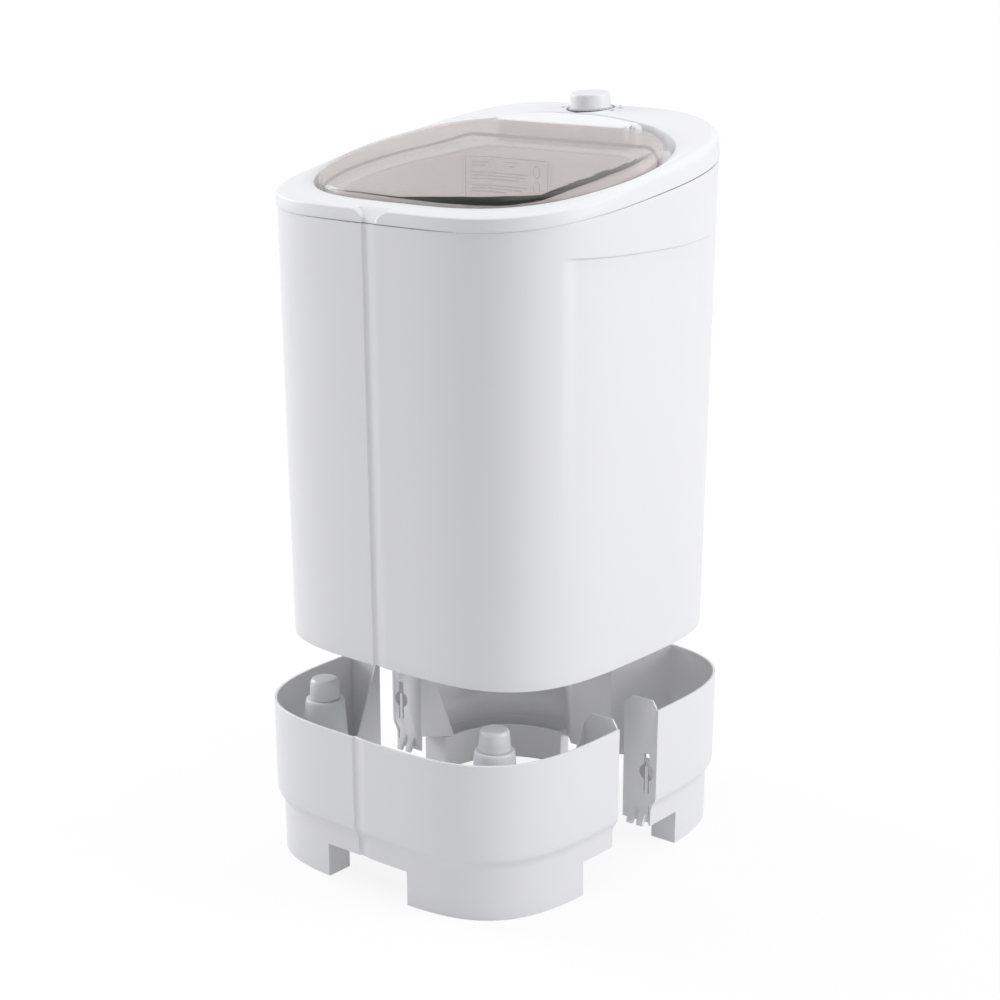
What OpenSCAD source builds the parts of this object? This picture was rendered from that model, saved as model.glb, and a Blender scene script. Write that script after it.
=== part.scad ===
// Small semi-automatic washing machine on a two-part stand.
// Shown taken apart: the cabinet is lifted and the stand halves are drawn apart.
// Units are millimetres, +Z is up, the front faces -Y, the floor is Z = 0.

/* [Cabinet] */
// Cabinet width at its bottom edge
body_w = 440; // [420:1:470]
// Cabinet depth at its bottom edge
body_d = 441; // [420:1:470]
// Height of the case seam at the front
case_front_h = 529; // [490:1:560]
// Rise of the case seam from front to back
case_rise = 66.5; // [50:0.5:75]
// Growth of the half width per millimetre of height
draft = 0.0154; // [0:0.001:0.02]
// Squareness of the plan in X
corner_x = 3.77; // [3:0.05:4.5]
// Squareness of the plan in Y
corner_y = 3.35; // [3:0.05:4]
// Wall thickness of the mouldings
wall = 3; // [2.5:0.1:3.4]
// Depth of the front flute
flute_depth = 2.6; // [1:0.1:3]
// Depth of the side panels
side_depth = 4; // [1:0.5:5]

/* [Stand] */
// Height of the stand from floor to rim
base_h = 198.6; // [180:0.2:220]
// Height of the arches between the feet
arch_h = 43.5; // [30:0.5:55]
// Inset of the feet behind the upper wall
foot_inset = 9.2; // [6:0.2:12]
// Half width of the front arch
arch_half = 64; // [50:1:70]
// Distance of the support posts from the middle
post_x = 137.5; // [128:0.5:142]
// Height of a post tip above the rim
tip_rise = 21.8; // [15:0.2:22]
// Diameter of a post tip
tip_d = 35; // [28:0.5:38]

/* [Lid and dial] */
// Half width of the lid
lid_half_w = 209; // [200:0.5:210]
// Height of the lid skirt
lid_skirt = 12.4; // [9:0.2:12.6]
// Height of the lid crown
lid_crown = 6; // [2:0.5:10]
// Height of the lid above the rim beside it
lid_rise = 9.5; // [6:0.5:10]
// Diameter of a hinge pin
pin_d = 5; // [3:0.5:6]
// Diameter of the timer knob
knob_d = 51; // [46:0.5:54]
// Height of the timer knob
knob_h = 20.5; // [16:0.5:26]
// Diameter of the dial ring
dial_d = 61; // [58:0.5:62]

/* [Drive] */
// Height of the tub floor above the cabinet bottom
tub_floor_z = 154; // [150:1:180]
// Diameter of the agitator
agitator_d = 250; // [220:1:260]
// Diameter of the agitator shaft
shaft_d = 12; // [10:0.5:14]
// Diameter of the drive pulley
pulley_d = 150; // [140:1:156]
// Diameter of the motor pulley
motor_pulley_d = 34; // [30:1:36]
// Diameter of the motor housing
motor_d = 104; // [90:1:108]
// Bore of the drain outlet
drain_bore = 25; // [20:0.5:26]
// Bore of the cord gland
cord_bore = 8; // [6:0.5:10]

/* [Arrangement] */
// Height at which the cabinet is shown above the stand
cabinet_raise = 78.5; // [0:0.5:90]
// Distance by which each stand half is drawn out
half_spread = 40; // [0:0.5:50]
// Clearance between turning faces
run_gap = 0.3; // [0.2:0.05:0.5]
// Clearance between fixed faces
fit_gap = 0.2; // [0.1:0.05:0.3]
// Thickness of the tub gasket
gasket_h = 3.9; // [3:0.1:5]

/* [Hidden] */
half_w = body_w / 2;
half_d = body_d / 2;
kx = body_w / 440;
ky = body_d / 441;
cab_z = base_h + cabinet_raise;
drive_y = -14 * ky;
motor_y = 115 * ky;
lid_mid = -18 * ky;
hinge_y = 134 * ky;
strip_front = 15;
strip_gap = 0.3;
lid_back = hinge_y - strip_front - strip_gap;
dial_y = 182.5 * ky;
dial_tilt = 4.5;
post_y = -135.7 * ky;
boss_d = 17;
dial_z = case_front_h + case_rise + 34.3;
agitator_r = agitator_d / 2;
plate_z = tip_rise + 3.8;
drain_x = 100 * kx;
drain_y = 20 * ky;
drain_z = 70;
flute_x = [-13, -11.5, -6, 0, 5, 9];
flute_k = [0, 1, 0.77, 0.46, 0.2, 0];

// Parameter angles round the plan, with close points at the front flute.
turns = concat(
    [for (t = [0 : 5 : 265]) t],
    [for (x = flute_x) 270 + asin(spow(x / half_w, corner_x / 2))],
    [for (t = [275 : 5 : 355]) t]
);
count = len(turns);

// Power that keeps the sign.
function spow(v, e) = sign(v) * pow(abs(v), e);

function clamp(v) = max(0, min(1, v));

// Share of the depth from front to back.
function share(y) = clamp((y + half_d) / body_d);

// Height of the case seam above the cabinet bottom.
function seam_z(y) = let (t = share(y))
    case_front_h + case_rise * (0.788 * t - 0.173 * t * t + 0.385 * t * t * t);

// Height of the lid edge.
function lid_z(y) = let (v = y / ky)
    seam_z(y) + 10.8 + 0.034 * (v + 176) + 0.0035 * pow(max(0, min(v, 116) - 70), 2);

// Height of the shelf that the lid rests on.
function shelf_z(y) = lid_z(y) - 12.7 - 6 * clamp((y / ky - 126) / 8);

// Height of the cover's rim at the front and sides.
function low_z(y) = seam_z(y) + 12.9 + 24.8 * share(y);

// Height of the cover round the recess, with the raised deck at the back.
function rim_z(x, y) = let (
        low = low_z(y),
        deck = dial_z - 0.26 + tan(dial_tilt) * (y - dial_y),
        across = 1 - pow(clamp((abs(x) / kx - 30) / 105), 1.3),
        w = clamp((y / ky - 125) / 25) * across
    ) low + w * max(0, deck - low);

// Plan point of the case at one parameter angle.
function case_pt(t, inset, z) = let (g = draft * z)
    [(half_w + g - inset) * spow(cos(t), 2 / corner_x), (half_d + g - inset) * spow(sin(t), 2 / corner_y)];

// Plan point of the lens-shaped outlines round the lid.
function lens_pt(t, a, b, mid, back) = [
    a * spow(cos(t), 2 / 3.5),
    min(back, mid + b * spow(sin(t), 2 / 1.93))
];

function recess_pt(t, grow) = lens_pt(t, 217.5 * kx + grow, 173.7 * ky + grow, -10.3 * ky, 152 * ky + grow);

function mouth_pt(t, grow) = lens_pt(t, 185 * kx + grow, 140 * ky + grow, lid_mid, 112 * ky + grow);

function lid_pt(t, inset, back = 0) =
    lens_pt(t, lid_half_w * kx - inset, 158 * ky - inset, lid_mid, lid_back - back);

// Flute depth of one ring point.
function flute(i) = (i > 53 && i < 60) ? flute_depth * flute_k[i - 54] : 0;

// Depth of the side panel at one plan point.
function panel(p) = (abs(p[0]) > 0.8 * half_w && p[1] > -142 * ky && p[1] < 128 * ky) ? side_depth : 0;

// Middle of a corner boss, set in from the wall so that the two stay joined.
boss_at = case_pt(45, wall + boss_d / 2 - 2.5, plate_z);

// Height of the ledge over the side panels.
function ledge_z(y) = case_front_h - 29.6 - 0.00012 * pow(y / ky + 70, 2);

// One ring of the cabinet wall, level 0 to 6 from bottom to seam.
function cabinet_ring(level, inset) = [
    for (i = [0 : count - 1])
        let (
            flat = case_pt(turns[i], inset, level > 4 ? seam_z(0) : 0),
            ledge = ledge_z(flat[1]),
            top = seam_z(flat[1]),
            zz = [0, 100, 300, ledge - 7, ledge, 0.4 * ledge + 0.6 * top, top - 0.4],
            z = zz[level],
            p = case_pt(turns[i], inset, level > 5 ? seam_z(0) : z),
            fade = [0, 0, 0.5, 1, 0, 0, 0]
        )
        [p[0] - sign(p[0]) * panel(p) * fade[level], p[1] + flute(i), z]
];

// One ring of the stand wall.
function stand_ring(z, inset) = [
    for (i = [0 : count - 1])
        let (p = case_pt(turns[i], inset, 0))
        [p[0], p[1] + flute(i), z]
];

// One ring of the chassis plate, which follows the cabinet wall and its flute.
function plate_ring(z) = [
    for (i = [0 : count - 1])
        let (p = case_pt(turns[i], wall + 0.25, plate_z))
        [p[0], p[1] + flute(i), z]
];

function flat_ring(inset, z, at) = [
    for (i = [0 : count - 1])
        let (p = case_pt(turns[i], inset, at))
        [p[0], p[1], z]
];

// Rings of the top cover, from the seam over the rim and back underneath.
function crease_pt(i) = let (p = case_pt(turns[i], 1.8, seam_z(0))) [p[0], p[1], seam_z(p[1]) + 14.8];

function deck_pt(i) = let (p = recess_pt(turns[i], 2)) [p[0], p[1], rim_z(p[0], p[1])];

function brow_pt(i) = let (
        a = crease_pt(i),
        b = deck_pt(i),
        d = norm([b[0] - a[0], b[1] - a[1]]),
        w = min(0.6, 9 / d),
        x = a[0] + w * (b[0] - a[0]),
        y = a[1] + w * (b[1] - a[1]),
        t = share(y)
    ) [x, y, seam_z(y) + 16.5 + 21.5 * t - 7 * t * t * pow(min(1, abs(x) / half_w), 3)];

function band_ring(inset, h) = [
    for (i = [0 : count - 1])
        let (p = case_pt(turns[i], inset, seam_z(0)))
        [p[0], p[1], seam_z(p[1]) + h]
];

function under_mouth(i, drop) = let (p = mouth_pt(turns[i], 0)) [p[0], p[1], shelf_z(p[1]) - drop];

function under_wall(i, drop) = let (p = recess_pt(turns[i], -1)) [p[0], p[1], shelf_z(p[1]) - drop];

// Point under the lid shelf: s = 0 at the tub mouth, s = 1 at the recess wall.
function under_pt(i, s, drop) = let (d = 1 + wall + drop)
    (1 - s) * under_mouth(i, d) + s * under_wall(i, d);

cover_rings = [
    band_ring(0, 0),
    band_ring(0.6, 12.5),
    [for (i = [0 : count - 1]) crease_pt(i)],
    [for (i = [0 : count - 1]) brow_pt(i)],
    [for (i = [0 : count - 1]) deck_pt(i)],
    [for (i = [0 : count - 1]) let (p = recess_pt(turns[i], 0)) [p[0], p[1], rim_z(p[0], p[1]) - 1.5]],
    [for (i = [0 : count - 1]) let (p = recess_pt(turns[i], -4)) [p[0], p[1], shelf_z(p[1])]],
    [for (i = [0 : count - 1]) let (p = lid_pt(turns[i], 0.6)) [p[0], p[1], shelf_z(p[1])]],
    [for (i = [0 : count - 1]) under_mouth(i, 1)],
    [for (i = [0 : count - 1]) under_mouth(i, 1 + wall)],
    [for (i = [0 : count - 1]) under_pt(i, 0.08, 0)],
    [for (i = [0 : count - 1]) under_pt(i, 0.26, 0)],
    [for (i = [0 : count - 1]) under_wall(i, 1 + wall)],
    [for (i = [0 : count - 1]) deck_pt(i) - [0, 0, wall + 0.5]],
    [for (i = [0 : count - 1]) let (p = brow_pt(i)) [p[0] * 0.995, p[1] * 0.995, p[2] - wall - 0.5]],
    band_ring(wall + 0.6, 11),
    band_ring(wall, 0)
];

// Closed tube of rings, like a bent ring-shaped wall.
module skin(rings) {
    n = len(rings[0]);
    m = len(rings);
    pts = [for (r = rings) for (p = r) p];
    tris = [
        for (i = [0 : m - 1])
            for (j = [0 : n - 1])
                let (
                    k = (j + 1) % n,
                    h = ((i + 1) % m) * n,
                    a = i * n + j,
                    b = i * n + k
                )
                each [[a, h + k, b], [a, h + j, h + k]]
    ];
    polyhedron(points = pts, faces = tris, convexity = 10);
}

// Body of rings closed by a point at each end.
module capped(rings, first, last) {
    n = len(rings[0]);
    m = len(rings);
    pts = concat([for (r = rings) for (p = r) p], [first, last]);
    f = n * m;
    tris = concat(
        [for (j = [0 : n - 1]) [f, j, (j + 1) % n]],
        [
            for (i = [0 : m - 2])
                for (j = [0 : n - 1])
                    let (
                        k = (j + 1) % n,
                        h = (i + 1) * n,
                        a = i * n + j,
                        b = i * n + k
                    )
                    each [[a, h + k, b], [a, h + j, h + k]]
        ],
        [for (j = [0 : n - 1]) [f + 1, (m - 1) * n + (j + 1) % n, (m - 1) * n + j]]
    );
    polyhedron(points = pts, faces = tris, convexity = 10);
}

module raised() {
    translate([0, 0, cab_z]) children();
}

module front_half() {
    translate([0, -half_spread, 0]) children();
}

module rear_half() {
    translate([0, half_spread, 0]) children();
}

module at_dial() {
    raised() translate([0, dial_y, dial_z]) rotate([dial_tilt, 0, 0]) children();
}

// Cylinder along X, Y or Z between two coordinates.
module bar_x(x0, x1, d) {
    translate([x0, 0, 0]) rotate([0, 90, 0]) cylinder(h = x1 - x0, d = d, $fn = 48);
}

module bar_y(y0, y1, d) {
    translate([0, y0, 0]) rotate([-90, 0, 0]) cylinder(h = y1 - y0, d = d, $fn = 48);
}

module bar_z(z0, z1, d) {
    translate([0, 0, z0]) cylinder(h = z1 - z0, d = d, $fn = 64);
}

module ring_z(z0, z1, d_out, d_in) {
    difference() {
        bar_z(z0, z1, d_out);
        bar_z(z0 - 1, z1 + 1, d_in);
    }
}

// Screw that points up, with its head below z.
module screw_up(z, d, len) {
    bar_z(z - 0.6 * d, z, 2 * d);
    bar_z(z - 0.1, z + len, d);
}

// Screw that points down, with its head above z.
module screw_down(z, d, len) {
    bar_z(z, z + 0.6 * d, 2 * d);
    bar_z(z - len, z + 0.1, d);
}

// Box between two corners.
module block(a, b) {
    translate(a) cube(b - a);
}

// Wall of the stand, from floor to rim.
module stand_wall() {
    skin([
        stand_ring(0, foot_inset),
        stand_ring(arch_h, foot_inset - 0.3),
        stand_ring(arch_h + 24.5, foot_inset - 0.8),
        stand_ring(arch_h + 28.5, foot_inset - 2.4),
        stand_ring(arch_h + 33.5, 3),
        stand_ring(arch_h + 37, 1.3),
        stand_ring(base_h, 0),
        stand_ring(base_h, wall),
        stand_ring(arch_h + 37, 1.3 + wall),
        stand_ring(arch_h + 33, 3 + wall),
        stand_ring(arch_h + 27.5, foot_inset - 2.2 + wall),
        stand_ring(arch_h + 23.5, foot_inset - 0.8 + wall),
        stand_ring(0, foot_inset + wall)
    ]);
}

// Full inside of the stand plan, for trimming.
module stand_fill(z0, z1, inset) {
    capped(
        [flat_ring(inset, z0, 0), flat_ring(inset, z1, 0)],
        [0, 0, z0],
        [0, 0, z1]
    );
}

// One corner box of the plan, outside the arches.
module corner_box(sx, sy, x0, y0, z0, z1) {
    block(
        [sx > 0 ? x0 : -half_w - 20, sy > 0 ? y0 : -half_d - 20, z0],
        [sx > 0 ? half_w + 20 : -x0, sy > 0 ? half_d + 20 : -y0, z1]
    );
}

// Hollow L-shaped feet of one half.
module feet(sy) {
    intersection() {
        skin([
            stand_ring(0, foot_inset + 1),
            stand_ring(arch_h + 3, foot_inset + 1),
            stand_ring(arch_h + 3, foot_inset + 36),
            stand_ring(0, foot_inset + 36)
        ]);
        union() {
            corner_box(1, sy, arch_half, 57, -1, arch_h + 4);
            corner_box(-1, sy, arch_half, 57, -1, arch_h + 4);
        }
    }
}

module foot_hollows(sy) {
    intersection() {
        skin([
            stand_ring(3, foot_inset + wall),
            stand_ring(arch_h + 9, foot_inset + wall),
            stand_ring(arch_h + 9, foot_inset + 33),
            stand_ring(3, foot_inset + 33)
        ]);
        union() {
            corner_box(1, sy, arch_half + wall, 57 + wall, -1, arch_h + 10);
            corner_box(-1, sy, arch_half + wall, 57 + wall, -1, arch_h + 10);
        }
    }
}

// One half of the stand moulding, sy = -1 in front, 1 at the back.
module stand_half(sy) {
    difference() {
        union() {
            stand_wall();
            feet(sy);
        }
        foot_hollows(sy);
        block(
            [-half_w - 30, sy > 0 ? -half_d - 30 : 0, -1],
            [half_w + 30, sy > 0 ? 0 : half_d + 30, base_h + 1]
        );
        block([-arch_half, -half_d - 30, -1], [arch_half, half_d + 30, arch_h]);
        block([-half_w - 30, -57, -1], [half_w + 30, 57, arch_h]);
    }
}

// Shelf in a front corner that carries a post.
module post_shelf(sx) {
    intersection() {
        stand_fill(arch_h, arch_h + 3, foot_inset + 1);
        corner_box(sx, -1, 92, 92, 0, arch_h + 10);
    }
}

// Plan of the hose recess at the back, grown by g.
module recess_plan(g) {
    polygon([
        [-32 - g * 0.45, 161 * ky - g],
        [32 + g * 0.45, 161 * ky - g],
        [110 + g * 1.45, 239 * ky],
        [-110 - g * 1.45, 239 * ky]
    ]);
}

// End plate in the plane of the cut, for the right side of the front half.
module end_plate(hooks) {
    wx = half_w - wall - 0.25;
    difference() {
        translate([0, -0.25, 0]) rotate([90, 0, 0]) linear_extrude(2.5) polygon([
            [168.5 * kx, hooks ? arch_h + 3 : arch_h + 23],
            [168.5 * kx, base_h - 3],
            [wx - 37, base_h + 10.9],
            [wx - 6, base_h + 10.9],
            [wx, base_h + 2],
            [wx - 1.3, arch_h + 38],
            [wx - foot_inset, arch_h + 25],
            [wx - foot_inset - 0.3, hooks ? arch_h + 3 : arch_h + 23]
        ]);
        if (hooks) {
            translate([wx - 13, 1, base_h - 85.6]) rotate([90, 0, 0]) cylinder(h = 6, r = 11, $fn = 48);
            block([wx - 17, -4, base_h - 113.6], [wx - 15.25, 1, base_h - 77]);
            block([wx - 10.75, -4, base_h - 113.6], [wx - 9, 1, base_h - 77]);
            block([wx - 17, -4, base_h - 78], [wx - 9, 1, base_h - 60.6]);
        }
    }
    if (hooks) {
        block([wx - 15.25, -2.75, base_h - 100], [wx - 10.75, -0.25, base_h - 77.6]);
        for (x = [wx - 36, wx - 21]) {
            translate([x, 0, arch_h]) rotate([90, 0, 90]) linear_extrude(9) polygon([
                [-2.75, 21],
                [-0.25, 21],
                [8.5, 5],
                [8.5, 0],
                [5.5, 0],
                [-2.75, 14]
            ]);
        }
    }
    translate([168.5 * kx, 0, 0]) rotate([90, 0, 90]) linear_extrude(2.5) polygon([
        [-0.25, base_h - 3],
        [-7, base_h - 3],
        [-32, base_h - 64],
        [-70, arch_h + 3.5],
        [-0.25, arch_h + 24]
    ]);
}

module support_post() {
    difference() {
        rotate_extrude($fn = 96) polygon([
            [0, arch_h + 3.1],
            [35, arch_h + 3.1],
            [24.5, base_h - 8.5],
            [23.3, base_h - 4.4],
            [0, base_h - 4.4]
        ]);
        rotate_extrude($fn = 96) polygon([
            [0, arch_h + 9],
            [31.9, arch_h + 9],
            [21.5, base_h - 11],
            [0, base_h - 11]
        ]);
        bar_z(arch_h, arch_h + 12, 4.4);
        bar_z(base_h - 14, base_h, 16 + 2 * fit_gap);
    }
}

module post_tip() {
    rotate_extrude($fn = 96) polygon([
        [0, base_h - 9],
        [8, base_h - 9],
        [8, base_h - 4.3],
        [tip_d / 2 + 2, base_h - 4.3],
        [tip_d / 2, base_h + tip_rise - 3],
        [tip_d / 2 - 2.5, base_h + tip_rise],
        [0, base_h + tip_rise]
    ]);
}

// Nodes of the stand.

module base_front_shell() {
    color("white") front_half() difference() {
        union() {
            stand_half(-1);
            post_shelf(1);
            post_shelf(-1);
        }
        for (sx = [-1, 1]) translate([sx * post_x * kx, post_y, 0]) bar_z(arch_h - 2, arch_h + 5, 4.6);
    }
}

module front_end_plate_right() {
    color("white") front_half() end_plate(false);
}

module front_end_plate_left() {
    color("white") front_half() mirror([1, 0, 0]) end_plate(false);
}

module rear_end_plate_right() {
    color("white") rear_half() mirror([0, 1, 0]) end_plate(true);
}

module rear_end_plate_left() {
    color("white") rear_half() rotate([0, 0, 180]) end_plate(true);
}

module support_post_left() {
    color("white") front_half() translate([-post_x * kx, post_y, 0]) support_post();
}

module support_post_right() {
    color("white") front_half() translate([post_x * kx, post_y, 0]) support_post();
}

module post_tip_left() {
    color("gainsboro") front_half() translate([-post_x * kx, post_y, 0]) post_tip();
}

module post_tip_right() {
    color("gainsboro") front_half() translate([post_x * kx, post_y, 0]) post_tip();
}

module post_screws() {
    color("silver") front_half() for (sx = [-1, 1]) translate([sx * post_x * kx, post_y, 0]) {
        screw_up(arch_h, 4, 10);
    }
}

module base_rear_shell() {
    color("white") rear_half() difference() {
        union() {
            stand_half(1);
            intersection() {
                stand_fill(arch_h, base_h, 1.5);
                linear_extrude(base_h) recess_plan(wall);
            }
        }
        translate([0, 0, arch_h - 60]) linear_extrude(base_h + 60) recess_plan(0);
    }
}

// Nodes of the cabinet.

module cabinet_shell() {
    color("white") raised() difference() {
        union() {
            skin([
                cabinet_ring(0, 0),
                cabinet_ring(1, 0),
                cabinet_ring(2, 0),
                cabinet_ring(3, 0),
                cabinet_ring(4, 0),
                cabinet_ring(5, 0),
                cabinet_ring(6, 0),
                cabinet_ring(6, wall),
                cabinet_ring(4, wall),
                cabinet_ring(3, wall),
                cabinet_ring(2, wall),
                cabinet_ring(1, wall),
                cabinet_ring(0, wall)
            ]);
            for (sx = [-1, 1]) for (sy = [-1, 1]) translate([sx * boss_at[0], sy * boss_at[1], 0]) {
                bar_z(plate_z + wall + fit_gap, plate_z + 45, boss_d);
            }
        }
        for (sx = [-1, 1]) for (sy = [-1, 1]) translate([sx * boss_at[0], sy * boss_at[1], 0]) {
            bar_z(plate_z, plate_z + 22, 4.4);
        }
        translate([drain_x, 0, drain_z]) bar_y(half_d - 30, half_d + 20, drain_bore + 10);
        translate([-drain_x, 0, drain_z]) bar_y(half_d - 30, half_d + 20, cord_bore + 9);
    }
}

module top_cover() {
    color("white") {
        difference() {
            union() {
                raised() skin(cover_rings);
                for (sx = [-1, 1]) raised() block(
                    [sx > 0 ? 101 : -109, hinge_y - 7, shelf_z(hinge_y) - 3],
                    [sx > 0 ? 109 : -101, hinge_y + 7, hinge_z + 5]
                );
            }
            raised() translate([0, hinge_y, hinge_z]) bar_x(-120, 120, pin_d + 2 * run_gap);
            at_dial() bar_z(-30, 10, 14);
            at_dial() for (sx = [-1, 1]) translate([sx * 17, 0, 0]) bar_z(-30, 10, 3.6);
        }
    }
}

hinge_z = lid_z(125 * ky) + 10.3;

module tub_gasket() {
    color("dimgray") raised() skin([
        [for (i = [0 : count - 1]) under_pt(i, 0.26, gasket_h + fit_gap)],
        [for (i = [0 : count - 1]) under_pt(i, 0.26, fit_gap)],
        [for (i = [0 : count - 1]) under_pt(i, 0.08, fit_gap)],
        [for (i = [0 : count - 1]) under_pt(i, 0.08, gasket_h + fit_gap)]
    ]);
}

// Tub outlines: round at the bottom, lens-shaped at the mouth.
function tub_ring(r, k, z) = [
    for (i = [0 : count - 1])
        let (
            c = [r * cos(turns[i]), drive_y + r * sin(turns[i])],
            m = mouth_pt(turns[i], 0.5),
            f = norm(m - [0, lid_mid])
        )
        [c[0] + k * (m[0] - c[0]), c[1] + k * (m[1] - c[1]), z]
];

function tub_out(z) = [
    for (i = [0 : count - 1])
        let (m = mouth_pt(turns[i], 0.5 + wall))
        [m[0], m[1], z]
];

function tub_in(z) = [
    for (i = [0 : count - 1])
        let (m = mouth_pt(turns[i], 0.5))
        [m[0], m[1], z]
];

module wash_tub() {
    straight_z = case_front_h - 29;
    rim_drop = gasket_h + 2 * fit_gap;
    r = agitator_r;
    color("white") raised() difference() {
        union() {
            capped(
                [
                    tub_ring(r + 3, 0, tub_floor_z - 3.5),
                    tub_ring(r + 16, 0, tub_floor_z + 6),
                    tub_ring(r + 22 + wall, 0.06, tub_floor_z + 60),
                    tub_ring(r + 25 + wall, 0.5, tub_floor_z + 200),
                    tub_out(straight_z),
                    [
                        for (i = [0 : count - 1])
                            let (p = tub_out(0)[i])
                            [p[0], p[1], under_mouth(i, 0)[2] - 14]
                    ],
                    [for (i = [0 : count - 1]) under_pt(i, 0.28, rim_drop + wall + 0.7)],
                    [for (i = [0 : count - 1]) under_pt(i, 0.28, rim_drop)],
                    [for (i = [0 : count - 1]) under_pt(i, 0.26, rim_drop)],
                    [for (i = [0 : count - 1]) under_pt(i, 0.08, rim_drop)],
                    [for (i = [0 : count - 1]) under_pt(i, 0.02, rim_drop)],
                    [
                        for (i = [0 : count - 1])
                            let (p = tub_in(0)[i])
                            [p[0], p[1], under_mouth(i, 0)[2] - 16]
                    ],
                    tub_in(straight_z),
                    tub_ring(r + 25, 0.5, tub_floor_z + 200),
                    tub_ring(r + 22, 0.06, tub_floor_z + 60),
                    tub_ring(r + 12, 0, tub_floor_z + 8),
                    tub_ring(r + 2, 0, tub_floor_z)
                ],
                [0, drive_y, tub_floor_z - 3.5],
                [0, drive_y, tub_floor_z]
            );
            translate([0, drive_y, 0]) bar_z(tub_floor_z - 8, tub_floor_z - 1, 120);
        }
        translate([0, drive_y, 0]) bar_z(tub_floor_z - 10, tub_floor_z + 5, 26 + 2 * fit_gap);
        translate([drain_x, drain_y, 0]) bar_z(tub_floor_z - 10, tub_floor_z + 5, drain_bore);
        for (a = [45 : 90 : 315]) translate([0, drive_y, 0]) rotate(a) translate([46, 0, 0]) {
            bar_z(tub_floor_z - 10, tub_floor_z - 2, 5.4);
        }
    }
}

// Thin panel on the rear wall of the tub.
function panel_pt(x, inset) = let (
        a = 185 * kx + 0.5 - inset,
        b = 140 * ky + 0.5 - inset,
        y = lid_mid + b * pow(1 - pow(abs(x) / a, 3.5), 1 / 1.93)
    ) [x, min(112 * ky + 0.5 - inset, y)];

module instruction_panel() {
    xs = [for (x = [-136 : 8 : -8]) x * kx];
    low = case_front_h - 22;
    raised() color("gainsboro") translate([0, 0, low]) linear_extrude(64) polygon(concat(
        [for (x = xs) panel_pt(x, 1.1)],
        [for (i = [len(xs) - 1 : -1 : 0]) panel_pt(xs[i] + 1, 2.1)]
    ));
}

module chassis_plate() {
    color("lightgray") raised() difference() {
        capped(
            [plate_ring(plate_z), plate_ring(plate_z + wall)],
            [0, 0, plate_z],
            [0, 0, plate_z + wall]
        );
        for (sx = [-1, 1]) for (sy = [-1, 1]) translate([sx * boss_at[0], sy * boss_at[1], 0]) {
            bar_z(0, 60, 4.6);
        }
        for (x = [-30 : 15 : 30]) block([x - 3, motor_y - 30, 0], [x + 3, motor_y + 30, 60]);
        for (sx = [-1, 1]) translate([sx * post_x * kx, post_y, 0]) bar_z(0, 60, 8 + 2 * fit_gap);
        for (x = [-58, 58]) for (y = [-43, 43]) translate([x, motor_y + y, 0]) bar_z(0, 60, 5.4);
    }
}

module chassis_screws() {
    color("silver") raised() {
        for (sx = [-1, 1]) for (sy = [-1, 1]) translate([sx * boss_at[0], sy * boss_at[1], 0]) {
            screw_up(plate_z - 0.1, 4, 18);
        }
        for (x = [-58, 58]) for (y = [-43, 43]) translate([x, motor_y + y, 0]) screw_up(plate_z - 0.1, 4, 14);
    }
}

module tip_seats() {
    color("dimgray") raised() for (sx = [-1, 1]) translate([sx * post_x * kx, post_y, 0]) {
        bar_z(plate_z - 3.4, plate_z - 0.1, 44);
        bar_z(plate_z - 1, plate_z + wall + 1, 8);
    }
}

module at_drive() {
    raised() translate([0, drive_y, 0]) children();
}

module at_motor() {
    raised() translate([0, motor_y, 0]) children();
}

module bearing_housing() {
    color("silver") at_drive() difference() {
        union() {
            bar_z(tub_floor_z - 16, tub_floor_z - 8.1, 112);
            bar_z(76, tub_floor_z - 15, 40);
            for (a = [0 : 90 : 270]) rotate(a) block([-3, 0, 100], [3, 48, tub_floor_z - 15]);
        }
        bar_z(60, tub_floor_z, shaft_d + 8 + 2 * fit_gap);
        for (a = [45 : 90 : 315]) rotate(a) translate([46, 0, 0]) bar_z(100, 200, 5.4);
    }
}

module housing_bolts() {
    color("silver") at_drive() for (a = [45 : 90 : 315]) rotate(a) translate([46, 0, 0]) {
        screw_up(tub_floor_z - 16.1, 5, 13.5);
    }
}

module shaft_bushes() {
    color("darkgoldenrod") at_drive() {
        ring_z(77, 97, shaft_d + 8, shaft_d + 2 * run_gap);
        ring_z(tub_floor_z - 28, tub_floor_z - 9, shaft_d + 8, shaft_d + 2 * run_gap);
    }
}

module shaft_seal() {
    color("black") at_drive() ring_z(tub_floor_z - 7.8, tub_floor_z, 26, shaft_d + 2 * run_gap);
}

module agitator() {
    r = agitator_r;
    z = tub_floor_z + 4;
    color("white") at_drive() difference() {
        union() {
            rotate_extrude($fn = 128) polygon([
                [0, z],
                [r - 6, z],
                [r, z + 4],
                [r - 3, z + 9],
                [60, z + 14],
                [34, z + 30],
                [24, z + 36],
                [0, z + 36]
            ]);
            for (a = [0 : 60 : 300]) rotate(a) translate([20, 4, z + 8]) rotate([90, 0, 0]) {
                linear_extrude(8) polygon([[0, 0], [r - 32, 0], [r - 38, 9], [38, 13], [10, 25], [0, 25]]);
            }
        }
        bar_z(z - 1, z + 22, shaft_d + fit_gap);
        bar_z(z + 20, z + 30, 5.6);
        bar_z(z + 29, z + 40, 26 + 2 * fit_gap);
    }
}

module agitator_screw() {
    color("silver") at_drive() screw_down(tub_floor_z + 33.1, 5, 20);
}

module agitator_cap() {
    z = tub_floor_z + 33;
    color("lightgray") at_drive() difference() {
        rotate_extrude($fn = 96) polygon([[0, z + 4], [13, z + 4], [13, z + 8], [9, z + 12], [0, z + 13]]);
        bar_z(z - 1, z + 4.5, 6);
    }
}

module agitator_shaft() {
    color("silver") at_drive() difference() {
        bar_z(46, tub_floor_z + 25, shaft_d);
        bar_z(tub_floor_z + 8, tub_floor_z + 30, 5.4);
    }
}

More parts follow.
